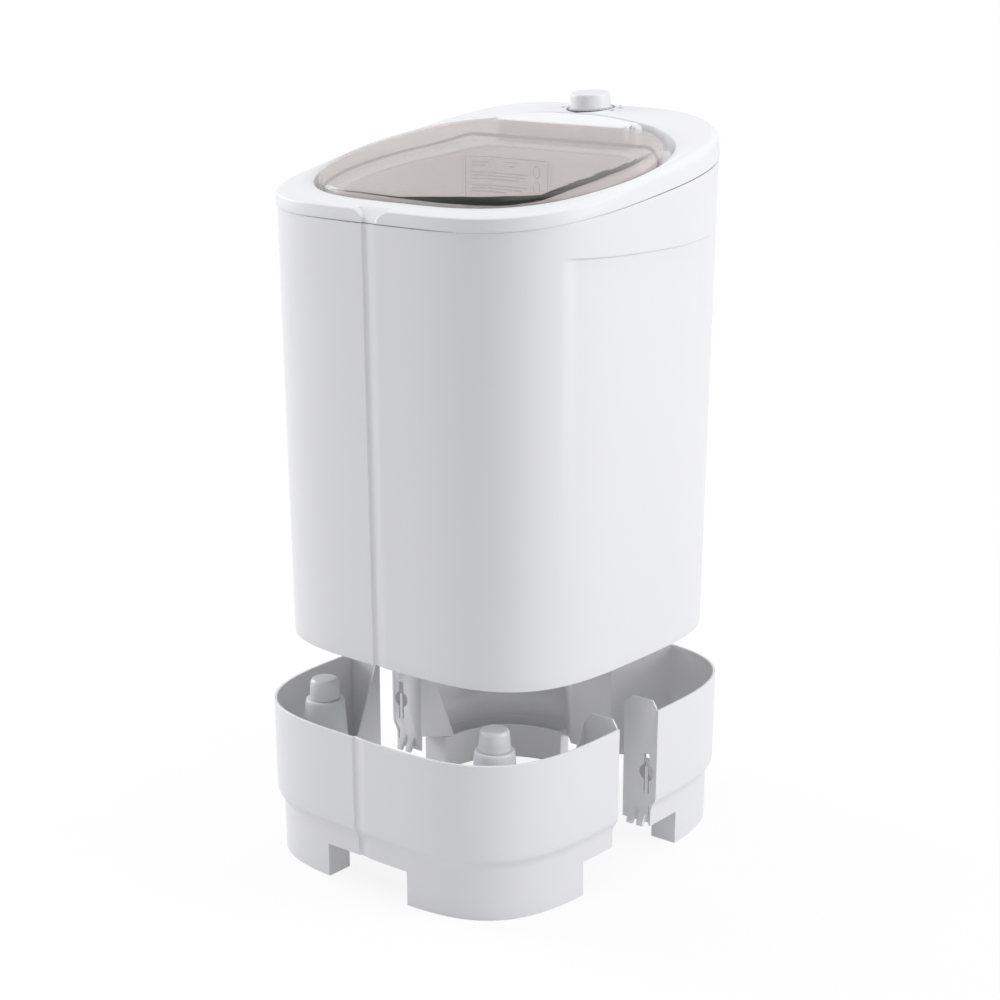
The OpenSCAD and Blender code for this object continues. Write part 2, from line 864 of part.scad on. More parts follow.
// Grooved pulley between two heights.
module pulley(z, d, bore) {
    r = d / 2;
    difference() {
        rotate_extrude($fn = 128) polygon([
            [0, z],
            [r, z],
            [r, z + 3],
            [r - 5, z + 5],
            [r - 5, z + 11],
            [r, z + 13],
            [r, z + 16],
            [0, z + 16]
        ]);
        bar_z(z - 1, z + 17, bore);
    }
}

module drive_pulley() {
    color("gray") at_drive() difference() {
        pulley(52, pulley_d, shaft_d + fit_gap);
        for (a = [0 : 60 : 300]) rotate(a) translate([41, 0, 0]) bar_z(50, 70, 26);
    }
}

module pulley_nut() {
    color("silver") at_drive() difference() {
        translate([0, 0, 47]) cylinder(h = 4.9, d = 22, $fn = 6);
        bar_z(40, 60, shaft_d + fit_gap);
    }
}

// Plan of the belt loop at one distance outside the pulley roots.
module belt_plan(g) {
    hull() {
        translate([0, drive_y]) circle(r = pulley_d / 2 - 5 + g, $fn = 96);
        translate([0, motor_y]) circle(r = motor_pulley_d / 2 - 5 + g, $fn = 48);
    }
}

module drive_belt() {
    color("black") raised() translate([0, 0, 57.3]) linear_extrude(5.4) difference() {
        belt_plan(4.3);
        belt_plan(0.4);
    }
}

module motor_bracket() {
    color("silver") at_motor() difference() {
        union() {
            block([-66, -52, 70], [66, 52, 73]);
            for (x = [-58, 58]) for (y = [-43, 43]) translate([x, y, 0]) bar_z(plate_z + wall + 0.1, 71, 13);
        }
        bar_z(60, 80, 44);
        for (x = [-44, 44]) for (y = [-44, 44]) translate([x, y, 0]) bar_z(60, 80, 5.6);
        for (x = [-58, 58]) for (y = [-43, 43]) translate([x, y, 0]) bar_z(0, plate_z + 20, 4.4);
    }
}

module motor_bushes() {
    color("black") at_motor() for (x = [-44, 44]) for (y = [-44, 44]) translate([x, y, 0]) {
        ring_z(73.1, 78.9, 17, 5.6);
    }
}

module motor_bolts() {
    color("silver") at_motor() for (x = [-44, 44]) for (y = [-44, 44]) translate([x, y, 0]) {
        screw_down(83.1, 5, 18);
    }
}

module motor_housing() {
    top = tub_floor_z - 12;
    color("silver") at_motor() difference() {
        union() {
            difference() {
                block([-52, -52, 79], [52, 52, 83]);
                for (x = [-44, 44]) for (y = [-44, 44]) translate([x, y, 0]) bar_z(70, 90, 5.6);
            }
            rotate_extrude($fn = 128) polygon([
                [0, 76],
                [24, 76],
                [24, 79],
                [motor_d / 2 - 14, 79],
                [motor_d / 2 - 14, 88],
                [motor_d / 2, 92],
                [motor_d / 2, top - 8],
                [motor_d / 2 - 8, top],
                [0, top]
            ]);
        }
        bar_z(70, 122, 10 + 2 * run_gap);
        for (a = [15 : 30 : 345]) rotate(a) translate([motor_d / 2 - 22, 0, 0]) {
            block([0, -3, top - 6], [10, 3, top + 2]);
        }
    }
}

module motor_shaft() {
    color("silver") at_motor() bar_z(49, 120, 10);
}

module motor_pulley() {
    color("gray") at_motor() pulley(52, motor_pulley_d, 10 + fit_gap);
}

module at_capacitor() {
    raised() translate([-120 * kx, 110 * ky, 0]) children();
}

module capacitor() {
    color("gainsboro") at_capacitor() {
        bar_z(plate_z + wall + 3.2, plate_z + 72, 38);
        for (x = [-7, 7]) translate([x, 0, 0]) block([-3, -0.5, plate_z + 71], [3, 0.5, plate_z + 80]);
    }
}

module capacitor_clip() {
    color("silver") at_capacitor() difference() {
        bar_z(plate_z + wall + 0.1, plate_z + 30, 42);
        bar_z(plate_z + wall + 3.1, plate_z + 40, 38 + 2 * fit_gap);
    }
}

module drain_tube() {
    d = drain_bore + 6;
    color("lightgray") raised() translate([drain_x, drain_y, 0]) difference() {
        union() {
            bar_z(drain_z, tub_floor_z - 3.7, d);
            translate([0, 0, drain_z]) sphere(d = d + 6, $fn = 96);
            translate([0, 0, drain_z]) bar_y(0, half_d - drain_y - 22, d);
        }
        bar_z(drain_z, tub_floor_z, drain_bore);
        translate([0, 0, drain_z]) sphere(d = drain_bore + 2, $fn = 96);
        translate([0, 0, drain_z]) bar_y(0, half_d, drain_bore);
    }
}

module drain_outlet() {
    color("lightgray") raised() translate([drain_x, 0, drain_z]) difference() {
        union() {
            bar_y(half_d - 21.8, half_d + 12, drain_bore + 6);
            bar_y(half_d - 12.1, half_d - 9.8, drain_bore + 20);
            bar_y(half_d + 8, half_d + 10, drain_bore + 8.5);
        }
        bar_y(half_d - 30, half_d + 20, drain_bore);
    }
}

module cord_gland() {
    color("dimgray") raised() translate([-drain_x, 0, drain_z]) difference() {
        union() {
            bar_y(half_d - 18, half_d + 4, cord_bore + 8);
            bar_y(half_d - 10, half_d - 7.6, cord_bore + 18);
            bar_y(half_d + 0.5, half_d + 4, cord_bore + 14);
        }
        bar_y(half_d - 30, half_d + 20, cord_bore);
    }
}

module wiring_harness() {
    top = case_front_h + case_rise - 2;
    color("black") raised() translate([20, 192 * ky, 0]) {
        bar_z(112, top, 7);
        translate([0, 0, 112]) sphere(d = 9, $fn = 48);
        translate([0, 0, 112]) bar_y(motor_y + motor_d / 2 - 192 * ky + 1, 0, 6);
    }
}

// Nodes of the lid.

module lid_panel() {
    // Ring at the height of the cover's rim beside it, s = 1 at the edge.
    function lid_ring(s, inset, back, dz) = [
        for (i = [0 : count - 1])
            let (
                q = lid_pt(turns[i], inset, back),
                x = s * q[0],
                y = lid_mid + s * (q[1] - lid_mid)
            )
            [x, y, low_z(y) + lid_crown * (1 - s * s) + dz]
    ];
    function foot_ring(inset) = [
        for (i = [0 : count - 1])
            let (q = lid_pt(turns[i], inset, inset))
            [q[0], q[1], lid_z(q[1]) - lid_skirt]
    ];
    color([0.78, 0.74, 0.74, 0.6]) raised() capped(
        [
            lid_ring(0.3, 12, 2.5, lid_rise - 2.5),
            lid_ring(0.6, 12, 2.5, lid_rise - 2.5),
            lid_ring(0.85, 12, 2.5, lid_rise - 2.5),
            lid_ring(1, 12, 2.5, lid_rise - 2.5),
            lid_ring(1, 7, 2.5, lid_rise - 4),
            lid_ring(1, 4, 2.5, lid_rise - 7),
            lid_ring(1, 2.6, 2.5, -1),
            foot_ring(2.5),
            foot_ring(0),
            lid_ring(1, 0, 0, -1),
            lid_ring(1, 1.2, 0, lid_rise - 4.5),
            lid_ring(1, 4.5, 0, lid_rise - 1.5),
            lid_ring(1, 11, 0, lid_rise),
            lid_ring(0.85, 11, 0, lid_rise),
            lid_ring(0.6, 11, 0, lid_rise),
            lid_ring(0.3, 11, 0, lid_rise)
        ],
        [0, lid_mid, low_z(lid_mid) + lid_crown + lid_rise - 2.5],
        [0, lid_mid, low_z(lid_mid) + lid_crown + lid_rise]
    );
}

module hinge_strip() {
    // The top arches across the width, like the deck behind it.
    arch = [for (x = [-100 : 10 : 100]) [x, 12.6 - 0.00077 * x * x]];
    color("white") raised() difference() {
        intersection() {
            translate([-100, hinge_y, hinge_z]) rotate([90, 0, 90]) linear_extrude(200) polygon([
                [-strip_front, -14],
                [-strip_front, 1.5],
                [-12.5, 3.4],
                [6, 11.4],
                [9.4, 11.9],
                [11.8, 9.5],
                [12.3, 7],
                [12.3, -7],
                [-2, -14]
            ]);
            translate([0, hinge_y + 20, hinge_z]) rotate([90, 0, 0]) linear_extrude(40) polygon(concat(
                [[100, -20], [-100, -20]],
                arch
            ));
        }
        translate([0, hinge_y, hinge_z]) {
            bar_x(-101, -88, pin_d + fit_gap);
            bar_x(88, 101, pin_d + fit_gap);
        }
    }
}

module hinge_pins() {
    color("silver") raised() translate([0, hinge_y, hinge_z]) {
        bar_x(-108.5, -88.5, pin_d);
        bar_x(88.5, 108.5, pin_d);
    }
}

// Nodes of the dial.

module dial_ring() {
    color("dimgray") at_dial() ring_z(0.4, 1.2, dial_d, 44);
}

module timer_body() {
    color("gainsboro") at_dial() difference() {
        block([-25, -22, -36], [25, 22, -6.5]);
        bar_z(-26, 0, 6 + 2 * run_gap);
        for (sx = [-1, 1]) translate([sx * 17, 0, 0]) bar_z(-20, 0, 3.4);
    }
}

module timer_screws() {
    color("silver") at_dial() for (sx = [-1, 1]) translate([sx * 17, 0, 0]) screw_down(0.5, 3, 16);
}

module timer_shaft() {
    color("silver") at_dial() bar_z(-24, 15, 6);
}

module knob() {
    r = knob_d / 2;
    color("white") at_dial() difference() {
        union() {
            difference() {
                rotate_extrude($fn = 128) polygon([
                    [0, 1.6],
                    [r, 1.6],
                    [r - 0.6, knob_h - 3],
                    [r - 2, knob_h - 0.8],
                    [r - 4.5, knob_h],
                    [0, knob_h]
                ]);
                bar_z(0, knob_h - 4, knob_d - 5);
            }
            bar_z(3.5, knob_h - 3.5, 12);
        }
        bar_z(0, 15.2, 6 + fit_gap);
    }
}

base_front_shell();
front_end_plate_left();
front_end_plate_right();
support_post_left();
support_post_right();
post_tip_left();
post_tip_right();
post_screws();
base_rear_shell();
rear_end_plate_left();
rear_end_plate_right();
cabinet_shell();
top_cover();
tub_gasket();
wash_tub();
instruction_panel();
chassis_plate();
chassis_screws();
tip_seats();
bearing_housing();
housing_bolts();
shaft_bushes();
shaft_seal();
agitator();
agitator_screw();
agitator_cap();
agitator_shaft();
drive_pulley();
pulley_nut();
drive_belt();
motor_bracket();
motor_bushes();
motor_bolts();
motor_housing();
motor_shaft();
motor_pulley();
capacitor();
capacitor_clip();
drain_tube();
drain_outlet();
cord_gland();
wiring_harness();
lid_panel();
hinge_strip();
hinge_pins();
dial_ring();
timer_body();
timer_screws();
timer_shaft();
knob();
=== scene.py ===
import math

import bmesh
import bpy
import numpy as np
from mathutils import Matrix, Vector
from mathutils.bvhtree import BVHTree


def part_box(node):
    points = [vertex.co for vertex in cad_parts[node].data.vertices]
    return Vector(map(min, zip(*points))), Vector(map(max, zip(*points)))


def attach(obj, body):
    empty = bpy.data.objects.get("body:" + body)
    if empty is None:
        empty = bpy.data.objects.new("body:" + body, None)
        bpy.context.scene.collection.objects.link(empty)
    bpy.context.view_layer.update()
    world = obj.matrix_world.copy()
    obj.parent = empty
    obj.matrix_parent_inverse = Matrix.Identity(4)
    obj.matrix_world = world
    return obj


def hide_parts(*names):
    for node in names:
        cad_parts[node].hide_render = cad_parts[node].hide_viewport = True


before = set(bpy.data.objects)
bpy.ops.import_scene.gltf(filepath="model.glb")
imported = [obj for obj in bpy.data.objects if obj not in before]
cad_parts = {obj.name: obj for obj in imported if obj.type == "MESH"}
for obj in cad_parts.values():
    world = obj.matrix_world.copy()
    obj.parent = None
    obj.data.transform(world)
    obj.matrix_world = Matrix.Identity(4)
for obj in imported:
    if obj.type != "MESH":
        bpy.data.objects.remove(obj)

bl_info = {
    "name": "Small washing machine",
    "version": (1, 0, 0),
    "blender": (4, 5, 0),
    "location": "3D View > Sidebar > Washer",
    "description": "Dresses a small semi-automatic washing machine on a two-part stand",
    "category": "Object",
}

MM = 0.001

# Places read from the frame, in millimetres.
CABINET_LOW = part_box("cabinet_shell")[0].z / MM
STAND_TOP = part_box("base_front_shell")[1].z / MM
FRONT_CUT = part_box("base_front_shell")[1].y / MM
REAR_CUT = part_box("base_rear_shell")[0].y / MM
HALF_W = (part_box("base_front_shell")[1].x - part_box("base_front_shell")[0].x) / MM / 2
HALF_D = FRONT_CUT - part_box("base_front_shell")[0].y / MM
BODY_D = 2 * HALF_D

# Plan of the case: a squared oval that widens a little with height.
CORNER_X = 3.77
CORNER_Y = 3.35
DRAFT = 0.0154
SEAM_FRONT = 529.0
SEAM_RISE = 66.5
RIM_GROWTH = DRAFT * 555.0

# Plans of the lid, recess and mouth: lens-shaped ovals by half width and half depth, cut straight behind.
LENS_X = 3.5
LENS_Y = 1.93
LID_MID = -18.0
LID_HALF = (209.0, 158.0)
LID_BACK = 118.7
MOUTH_HALF = (185.0, 140.0)
MOUTH_BACK = 112.0
RECESS_MID = -10.3
RECESS_HALF = (217.5, 173.7)
RECESS_BACK = 152.0
PANEL_GAP = 1.6

# Sizes of the mouldings, in millimetres.
WALL = 3.0
ARCH_H = 43.5
ARCH_HALF = 64.0
SIDE_ARCH_HALF = 57.0
FOOT_INSET = 9.2
FOOT_DEPTH = 36.0
STEP_LOW = 72.5
STEP_HIGH = 78.5
SIDE_FRONT = -145.0
SIDE_BACK = 100.0
HINGE_Y = 134.0
PIN_RISE = 10.3
STRIP_HALF = 100.0
STRIP_FRONT = -15.0
STRIP_BACK = 12.3
LUG_R = 6.5
DIAL_Y = 182.5
DIAL_RISE = 34.3
DIAL_R = 30.0
DIAL_TILT = math.radians(4.5)
LID_FOOT_DROP = 12.4
LID_CROWN = 6.0
LID_RISE = 9.5
SEAM_GAP = 0.9
BAND_TOP = 14.1
BAND_LEAN = 1.4
BROW_W = 13.0
CREASE_H = 14.5
RIM_ROUND = 1.6
KNOB_H = 20.5
TUB_Y = -14.0
TUB_FLOOR = 154.0
TUB_R = 150.0
TUB_WALL = 3.0
BORE_R = 13.2
DRAIN_R = 12.5
HOSE_HALF = 32.0
HOSE_Y = 161.0
HOSE_FLARE = 1.0222
TICK_R = 28.2
NUMBER_RX = 38.5
NUMBER_RY = 36.5
NUMBER_H = 7.2

# The flute and the notch above it: places across the front, in millimetres from the middle.
FLUTE_LEFT = -12.9
FLUTE_STEEP = 1.4
FLUTE_SOFT_FROM = -11.5
FLUTE_SOFT = 20.5
NOTCH_RIGHT = 10.4
NOTCH_FLARE = 15.0

# Places across the front where the flute's section changes.
FLUTE_STATIONS = [-15, -13.2, -12.8, -12.4, -12, -11.6, -11, -9.5, -8, -6, -4, -2, 0, 2, 4, 6, 8, 10, 12]

# The camera: angles in degrees, distance and aim in millimetres, focal length in pixels of its picture.
CAMERA_TURN = 39.1975
CAMERA_RISE = 15.2194
CAMERA_REACH = 2636.06
CAMERA_ASIDE = 1.68
CAMERA_AIM_Z = 437.17
FOCAL_PX = 2115.776
PICTURE_PX = 1000.0
SENSOR_W = 36.0


def set_length(name, text, value, low, high):
    """A length property in metres."""
    return bpy.props.FloatProperty(
        name=name, description=text, default=value * MM, min=low * MM, max=high * MM, unit="LENGTH"
    )


def set_colour(name, text, value):
    """A colour property."""
    return bpy.props.FloatVectorProperty(
        name=name, description=text, default=value, size=3, min=0.0, max=1.0, subtype="COLOR"
    )


class WasherSizes(bpy.types.PropertyGroup):
    """Sizes of the finishes that a user may change."""

    flute_depth: set_length("Flute depth", "Depth of the flute down the front", 2.4, 0.5, 3.0)
    panel_depth: set_length("Side panel depth", "Depth of the panels under the side ledges", 4.8, 0.5, 5.0)
    notch_depth: set_length("Notch depth", "Depth of the funnel notch in the cover's front", 9.0, 1.0, 9.5)
    edge_round: set_length("Edge rounding", "Rounding of the end plates' edges", 0.4, 0.1, 1.5)
    tick_length: set_length("Tick length", "Length of the marks on the dial", 2.0, 0.5, 3.0)
    tick_count: bpy.props.IntProperty(
        name="Tick count", description="Marks round the dial", default=32, min=8, max=64
    )


class WasherColours(bpy.types.PropertyGroup):
    """Colours of the finishes."""

    shell: set_colour("Shell", "White of the cabinet, cover and stand", (0.80, 0.80, 0.805))
    knob: set_colour("Knob", "White of the knob", (0.77, 0.77, 0.775))
    strip: set_colour("Strip", "White of the hinge strip", (0.86, 0.86, 0.86))
    lid: set_colour("Lid", "Tint of the see-through lid", (0.80, 0.735, 0.72))
    tub: set_colour("Tub", "White of the tub", (0.74, 0.735, 0.73))
    post: set_colour("Post", "Milky tone of the support posts", (0.74, 0.75, 0.76))
    marks: set_colour("Marks", "Tone of the printed marks", (0.10, 0.11, 0.12))


# Shape rules shared by the pieces. Heights are millimetres above the cabinet's bottom.


def smooth(v):
    v = np.clip(v, 0.0, 1.0)
    return v * v * (3 - 2 * v)


def share(y):
    """How far back a place lies, from 0 at the front to 1."""
    return np.clip((y + HALF_D) / BODY_D, 0.0, 1.0)


def seam_z(y):
    """The seam between the cabinet and its cover, which rises to the back."""
    t = share(y)
    return SEAM_FRONT + SEAM_RISE * (0.788 * t - 0.173 * t * t + 0.385 * t**3)


def lid_z(y):
    """The plane that the lid lies on, turned up near the hinge."""
    lift = np.maximum(0, np.minimum(y, 116) - 70)
    return seam_z(y) + 10.8 + 0.034 * (y + 176) + 0.0035 * lift**2


def shelf_z(y):
    """The shelf round the mouth, inside the recess."""
    return lid_z(y) - 12.7 - 6 * np.clip((y - 126) / 8, 0, 1)


def low_z(y):
    """The edge of the recess along its front and sides."""
    return seam_z(y) + 12.9 + 24.8 * share(y)


def rim_z(x, y):
    """The edge of the recess all round, with the raised deck at the back."""
    low = low_z(y)
    deck = SEAM_FRONT + SEAM_RISE + 31.8 + 0.0785 * (y - 154)
    across = 1 - np.clip((np.abs(x) - 30) / 105, 0, 1) ** 1.3
    w = smooth((y - 122) / 30) * across
    return low + w * np.maximum(0, deck - low)


def ledge_z(y):
    """The ledge over a side panel, a little lower in the middle."""
    sag = 5 - 0.00027 * (y - 10) ** 2 - 0.0000022 * np.maximum(0, y - 10) ** 3
    return SEAM_FRONT - 29.6 - 0.00012 * (y + 70) ** 2 - sag


def ray_radius(phi, a, b, p, q, mid, centre):
    """Distance along each ray from (0, centre) to the squared oval round (0, mid)."""
    low = np.zeros_like(phi)
    high = np.full_like(phi, 900.0)
    for _ in range(60):
        r = (low + high) / 2
        inside = np.abs(r * np.cos(phi) / a) ** p + np.abs((centre + r * np.sin(phi) - mid) / b) ** q < 1
        low = np.where(inside, r, low)
        high = np.where(inside, high, r)
    return (low + high) / 2


def clipped_radius(phi, r, back, centre, round_mm):
    """The same, with the back cut straight at y = back and the corners rounded."""
    s = np.sin(phi)
    cut = np.where(s > 0.02, (back - centre) / np.maximum(s, 0.02), 1e4)
    k = round_mm
    m = np.minimum(r, cut)
    return m - k * np.log(np.exp(-(r - m) / k) + np.exp(-(np.minimum(cut, m + 60 * k) - m) / k)) * 0.6


def case_radius(phi, inset, growth, centre=0.0):
    return ray_radius(phi, HALF_W + growth - inset, HALF_D + growth - inset, CORNER_X, CORNER_Y, 0.0, centre)


def lens_radius(phi, half, mid, grow, back, centre, round_mm):
    """Distance along each ray to a lens-shaped oval that is cut straight behind."""
    r = ray_radius(phi, half[0] + grow, half[1] + grow, LENS_X, LENS_Y, mid, centre)
    return clipped_radius(phi, r, back, centre, round_mm)


def recess_radius(phi, grow, centre):
    return lens_radius(phi, RECESS_HALF, RECESS_MID, grow, RECESS_BACK + grow, centre, 4.0)


def mouth_radius(phi, grow, centre):
    return lens_radius(phi, MOUTH_HALF, LID_MID, grow, MOUTH_BACK + grow, centre, 5.0)


def lid_radius(phi, inset, back):
    back_y = LID_BACK - (inset if back is None else back)
    return lens_radius(phi, LID_HALF, LID_MID, -inset, back_y, LID_MID, 2.0)


def plan(phi, r, centre=0.0):
    return np.stack([r * np.cos(phi), centre + r * np.sin(phi)], axis=1)


def ring_at(phi, r, z, centre=0.0):
    """A ring of points round (0, centre)."""
    return np.stack([r * np.cos(phi), centre + r * np.sin(phi), z + 0 * phi], axis=1)


def case_angles(count, centre, fronts=(), sides=()):
    """Ray angles evenly spaced along the case outline, with close ones at given places."""
    fine = np.linspace(-math.pi, math.pi, 14401)[:-1]
    pts = plan(fine, case_radius(fine, 0, 0, centre), centre)
    step = np.linalg.norm(np.diff(np.vstack([pts, pts[:1]]), axis=0), axis=1)
    run = np.concatenate([[0], np.cumsum(step)])
    phi = list(np.interp(np.arange(count) * run[-1] / count, run[:-1], fine))
    for x in fronts:
        front = (pts[:, 1] < 0) & (np.abs(pts[:, 0]) < 60)
        phi.append(float(fine[front][np.argmin(np.abs(pts[front, 0] - x))]))
    for y in sides:
        for s in (-1, 1):
            side = pts[:, 0] * s > 120
            phi.append(float(fine[side][np.argmin(np.abs(pts[side, 1] - y))]))
    phi = np.sort(np.array(phi))
    keep = np.concatenate([[True], np.diff(phi) > 0.0006])
    return phi[keep]


def flute_profile(x):
    """Share of the flute's depth across the front: steep on the left, soft on the right."""
    left = smooth((x - FLUTE_LEFT) / FLUTE_STEEP)
    right = 1 - smooth((x - FLUTE_SOFT_FROM) / FLUTE_SOFT)
    return left * right


# Mesh helpers.


def placed(name, data):
    """A new object in the scene."""
    obj = bpy.data.objects.new(name, data)
    bpy.context.collection.objects.link(obj)
    return obj


def mesh_from(name, verts, faces, lift=0.0):
    """An object from points in millimetres, raised by lift."""
    mesh = bpy.data.meshes.new(name)
    mesh.from_pydata([(x * MM, y * MM, (z + lift) * MM) for x, y, z in verts], [], faces)
    mesh.update()
    return placed(name, mesh)


def ring_faces(rows, n):
    """Quads between successive closed rings."""
    out = []
    for a in range(0, (rows - 1) * n, n):
        for j in range(n):
            k = (j + 1) % n
            out.append((a + j, a + k, a + n + k, a + n + j))
    return out


def tube_shell(name, rings, lift=0.0):
    """Rings up the outside and down the inside, joined into one closed wall."""
    n = len(rings[0])
    last = (len(rings) - 1) * n
    faces = ring_faces(len(rings), n)
    faces += [(last + j, last + (j + 1) % n, (j + 1) % n, j) for j in range(n)]
    return mesh_from(name, np.vstack(rings), faces, lift)


def closed_cup(name, rings, first, last, lift=0.0):
    """Rings closed by a point at each end."""
    n = len(rings[0])
    tip, base = len(rings) * n, (len(rings) - 1) * n
    faces = ring_faces(len(rings), n)
    for j in range(n):
        k = (j + 1) % n
        faces += [(tip, k, j), (tip + 1, base + j, base + k)]
    return mesh_from(name, np.vstack(rings + [first, last]), faces, lift)


def capped_loft(name, rings):
    """Rings along a bar, closed by a flat face at each end."""
    n, last = len(rings[0]), (len(rings) - 1) * len(rings[0])
    faces = ring_faces(len(rings), n)
    faces += [tuple(reversed(range(n))), tuple(range(last, last + n))]
    return face_outward(mesh_from(name, np.vstack(rings), faces, CABINET_LOW))


def merge_objects(name, parts):
    """One object from the meshes of several."""
    bm = bmesh.new()
    for p in parts:
        bm.from_mesh(p.data)
    mesh = bpy.data.meshes.new(name)
    bm.to_mesh(mesh)
    bm.free()
    for p in parts:
        bpy.data.objects.remove(p, do_unlink=True)
    return placed(name, mesh)


def lathe(name, profile, at=(0, 0, 0), turn=Matrix.Identity(4), steps=96):
    """A turned piece from (radius, height) points; the ends lie on the axis."""
    ang = np.linspace(0, 2 * math.pi, steps, endpoint=False)
    rings = [ring_at(ang, r, z) for r, z in profile[1:-1]]
    obj = closed_cup(name, rings, (0, 0, profile[0][1]), (0, 0, profile[-1][1]))
    obj.data.transform(Matrix.Translation(Vector(at) * MM) @ turn)
    return obj


def turned_ring(name, section, turn, steps=96):
    """A closed ring with the given section of (radius, height) points."""
    ang = np.linspace(0, 2 * math.pi, steps, endpoint=False)
    obj = tube_shell(name, [ring_at(ang, r, z) for r, z in section])
    obj.data.transform(turn)
    return obj


def fillet(points, radius, steps=4):
    """A polyline with its inner corners rounded."""
    out = [points[0]]
    for a, b, c in zip(points, points[1:], points[2:]):
        a, b, c = (np.array(v, float) for v in (a, b, c))
        la, lc = np.linalg.norm(a - b), np.linalg.norm(c - b)
        cut = min(radius, la * 0.45, lc * 0.45)
        p, q = b + (a - b) / la * cut, b + (c - b) / lc * cut
        for t in np.linspace(0, 1, steps + 1):
            out.append(tuple((1 - t) ** 2 * p + 2 * t * (1 - t) * b + t * t * q))
    out.append(points[-1])
    return out


def box_piece(name, low, high):
    (x0, y0, z0), (x1, y1, z1) = low, high
    v = [(x, y, z) for z in (z0, z1) for y in (y0, y1) for x in (x0, x1)]
    f = [(0, 2, 3, 1), (4, 5, 7, 6), (0, 1, 5, 4), (2, 6, 7, 3), (0, 4, 6, 2), (1, 3, 7, 5)]
    return mesh_from(name, v, f)


def prism(name, outline, z0, z1):
    """An upright prism over a plan outline that runs anticlockwise."""
    n = len(outline)
    v = [(x, y, z) for z in (z0, z1) for x, y in outline]
    f = [tuple(reversed(range(n))), tuple(range(n, 2 * n))]
    f += [(i, (i + 1) % n, n + (i + 1) % n, n + i) for i in range(n)]
    return mesh_from(name, v, f)


def join_shape(obj, tool, mode):
    """A boolean with a helper solid, which is then removed."""
    mod = obj.modifiers.new("shape", "BOOLEAN")
    mod.operation = mode
    mod.solver = "EXACT"
    mod.object = tool
    bake(obj)
    bpy.data.objects.remove(tool, do_unlink=True)
    return obj


def evaluated(obj):
    """The object's mesh as its modifiers or its curve make it."""
    bpy.context.view_layer.update()
    return bpy.data.meshes.new_from_object(obj.evaluated_get(bpy.context.evaluated_depsgraph_get()))


def bake(obj):
    """The evaluated mesh in place of the modifiers."""
    mesh = evaluated(obj)
    obj.modifiers.clear()
    old = obj.data
    obj.data = mesh
    mesh.name = obj.name
    bpy.data.meshes.remove(old)
    return obj


def edit_mesh(obj, change):
    """An edit of the object's mesh by a function that takes a bmesh."""
    bm = bmesh.new()
    bm.from_mesh(obj.data)
    change(bm)
    bm.to_mesh(obj.data)
    bm.free()
    return obj


def face_outward(obj):
    return edit_mesh(obj, lambda bm: bmesh.ops.recalc_face_normals(bm, faces=bm.faces))


def shade(obj, degrees=32.0):
    """Smooth shading with the hard edges kept."""
    limit = math.radians(degrees)

    def mark(bm):
        for face in bm.faces:
            face.smooth = True
        for edge in bm.edges:
            edge.smooth = len(edge.link_faces) == 2 and edge.calc_face_angle(4.0) < limit

    return edit_mesh(obj, mark)


def soften(obj, width):
    """Rounded edges where faces meet at a clear angle."""
    mod = obj.modifiers.new("round", "BEVEL")
    mod.width = width
    mod.segments = 2
    mod.limit_method = "ANGLE"
    mod.angle_limit = math.radians(32.0)
    mod.harden_normals = False
    return bake(obj)


def solid_copy(node, name):
    """A joined-up copy of a CAD node's mesh."""
    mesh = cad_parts[node].data.copy()
    mesh.name = name
    mesh.materials.clear()

    def join_up(bm):
        bmesh.ops.remove_doubles(bm, verts=bm.verts, dist=2e-6)
        bmesh.ops.dissolve_limit(bm, angle_limit=math.radians(0.4), verts=bm.verts, edges=bm.edges)

    return edit_mesh(placed(name, mesh), join_up)


def finish_piece(obj, body, material, replaces=()):
    """Material, body and the hiding of the CAD nodes that the piece stands for."""
    obj.data.materials.clear()
    obj.data.materials.append(material)
    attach(obj, body)
    if replaces:
        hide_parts(*replaces)
    return obj


# Shader groups and materials.


def group_io(tree, direction, kind, name, default=None):
    """A named input or output of a node group."""
    socket = tree.interface.new_socket(name, in_out=direction, socket_type=kind)
    if default is not None:
        socket.default_value = default


def feed(tree, node, **terms):
    """Values or links for a node's inputs; an underscore in a name stands for a space."""
    for name, term in terms.items():
        put(tree, node.inputs[name.replace("_", " ")], term)
    return node


def put(tree, socket, term):
    if isinstance(term, bpy.types.NodeSocket):
        tree.links.new(term, socket)
    else:
        socket.default_value = term


def make(tree, kind, **terms):
    """A new node with its inputs fed."""
    return feed(tree, tree.nodes.new(kind), **terms)


def maths(tree, operation, *terms):
    """The output of a math node whose terms are sockets or numbers."""
    node = tree.nodes.new("ShaderNodeMath")
    node.operation = operation
    for socket, term in zip(node.inputs, terms):
        put(tree, socket, term)
    return node.outputs[0]


def spread(tree, value, low, high, start=0.0, end=1.0):
    """A value between start and end mapped to low and high."""
    node = make(tree, "ShaderNodeMapRange", Value=value, To_Min=low, To_Max=high)
    return feed(tree, node, From_Min=start, From_Max=end).outputs["Result"]


def mixed(tree, share_of_second, first, second):
    """The output of a mix of two shaders."""
    node = tree.nodes.new("ShaderNodeMixShader")
    for socket, term in zip(node.inputs, (share_of_second, first, second)):
        put(tree, socket, term)
    return node.outputs[0]


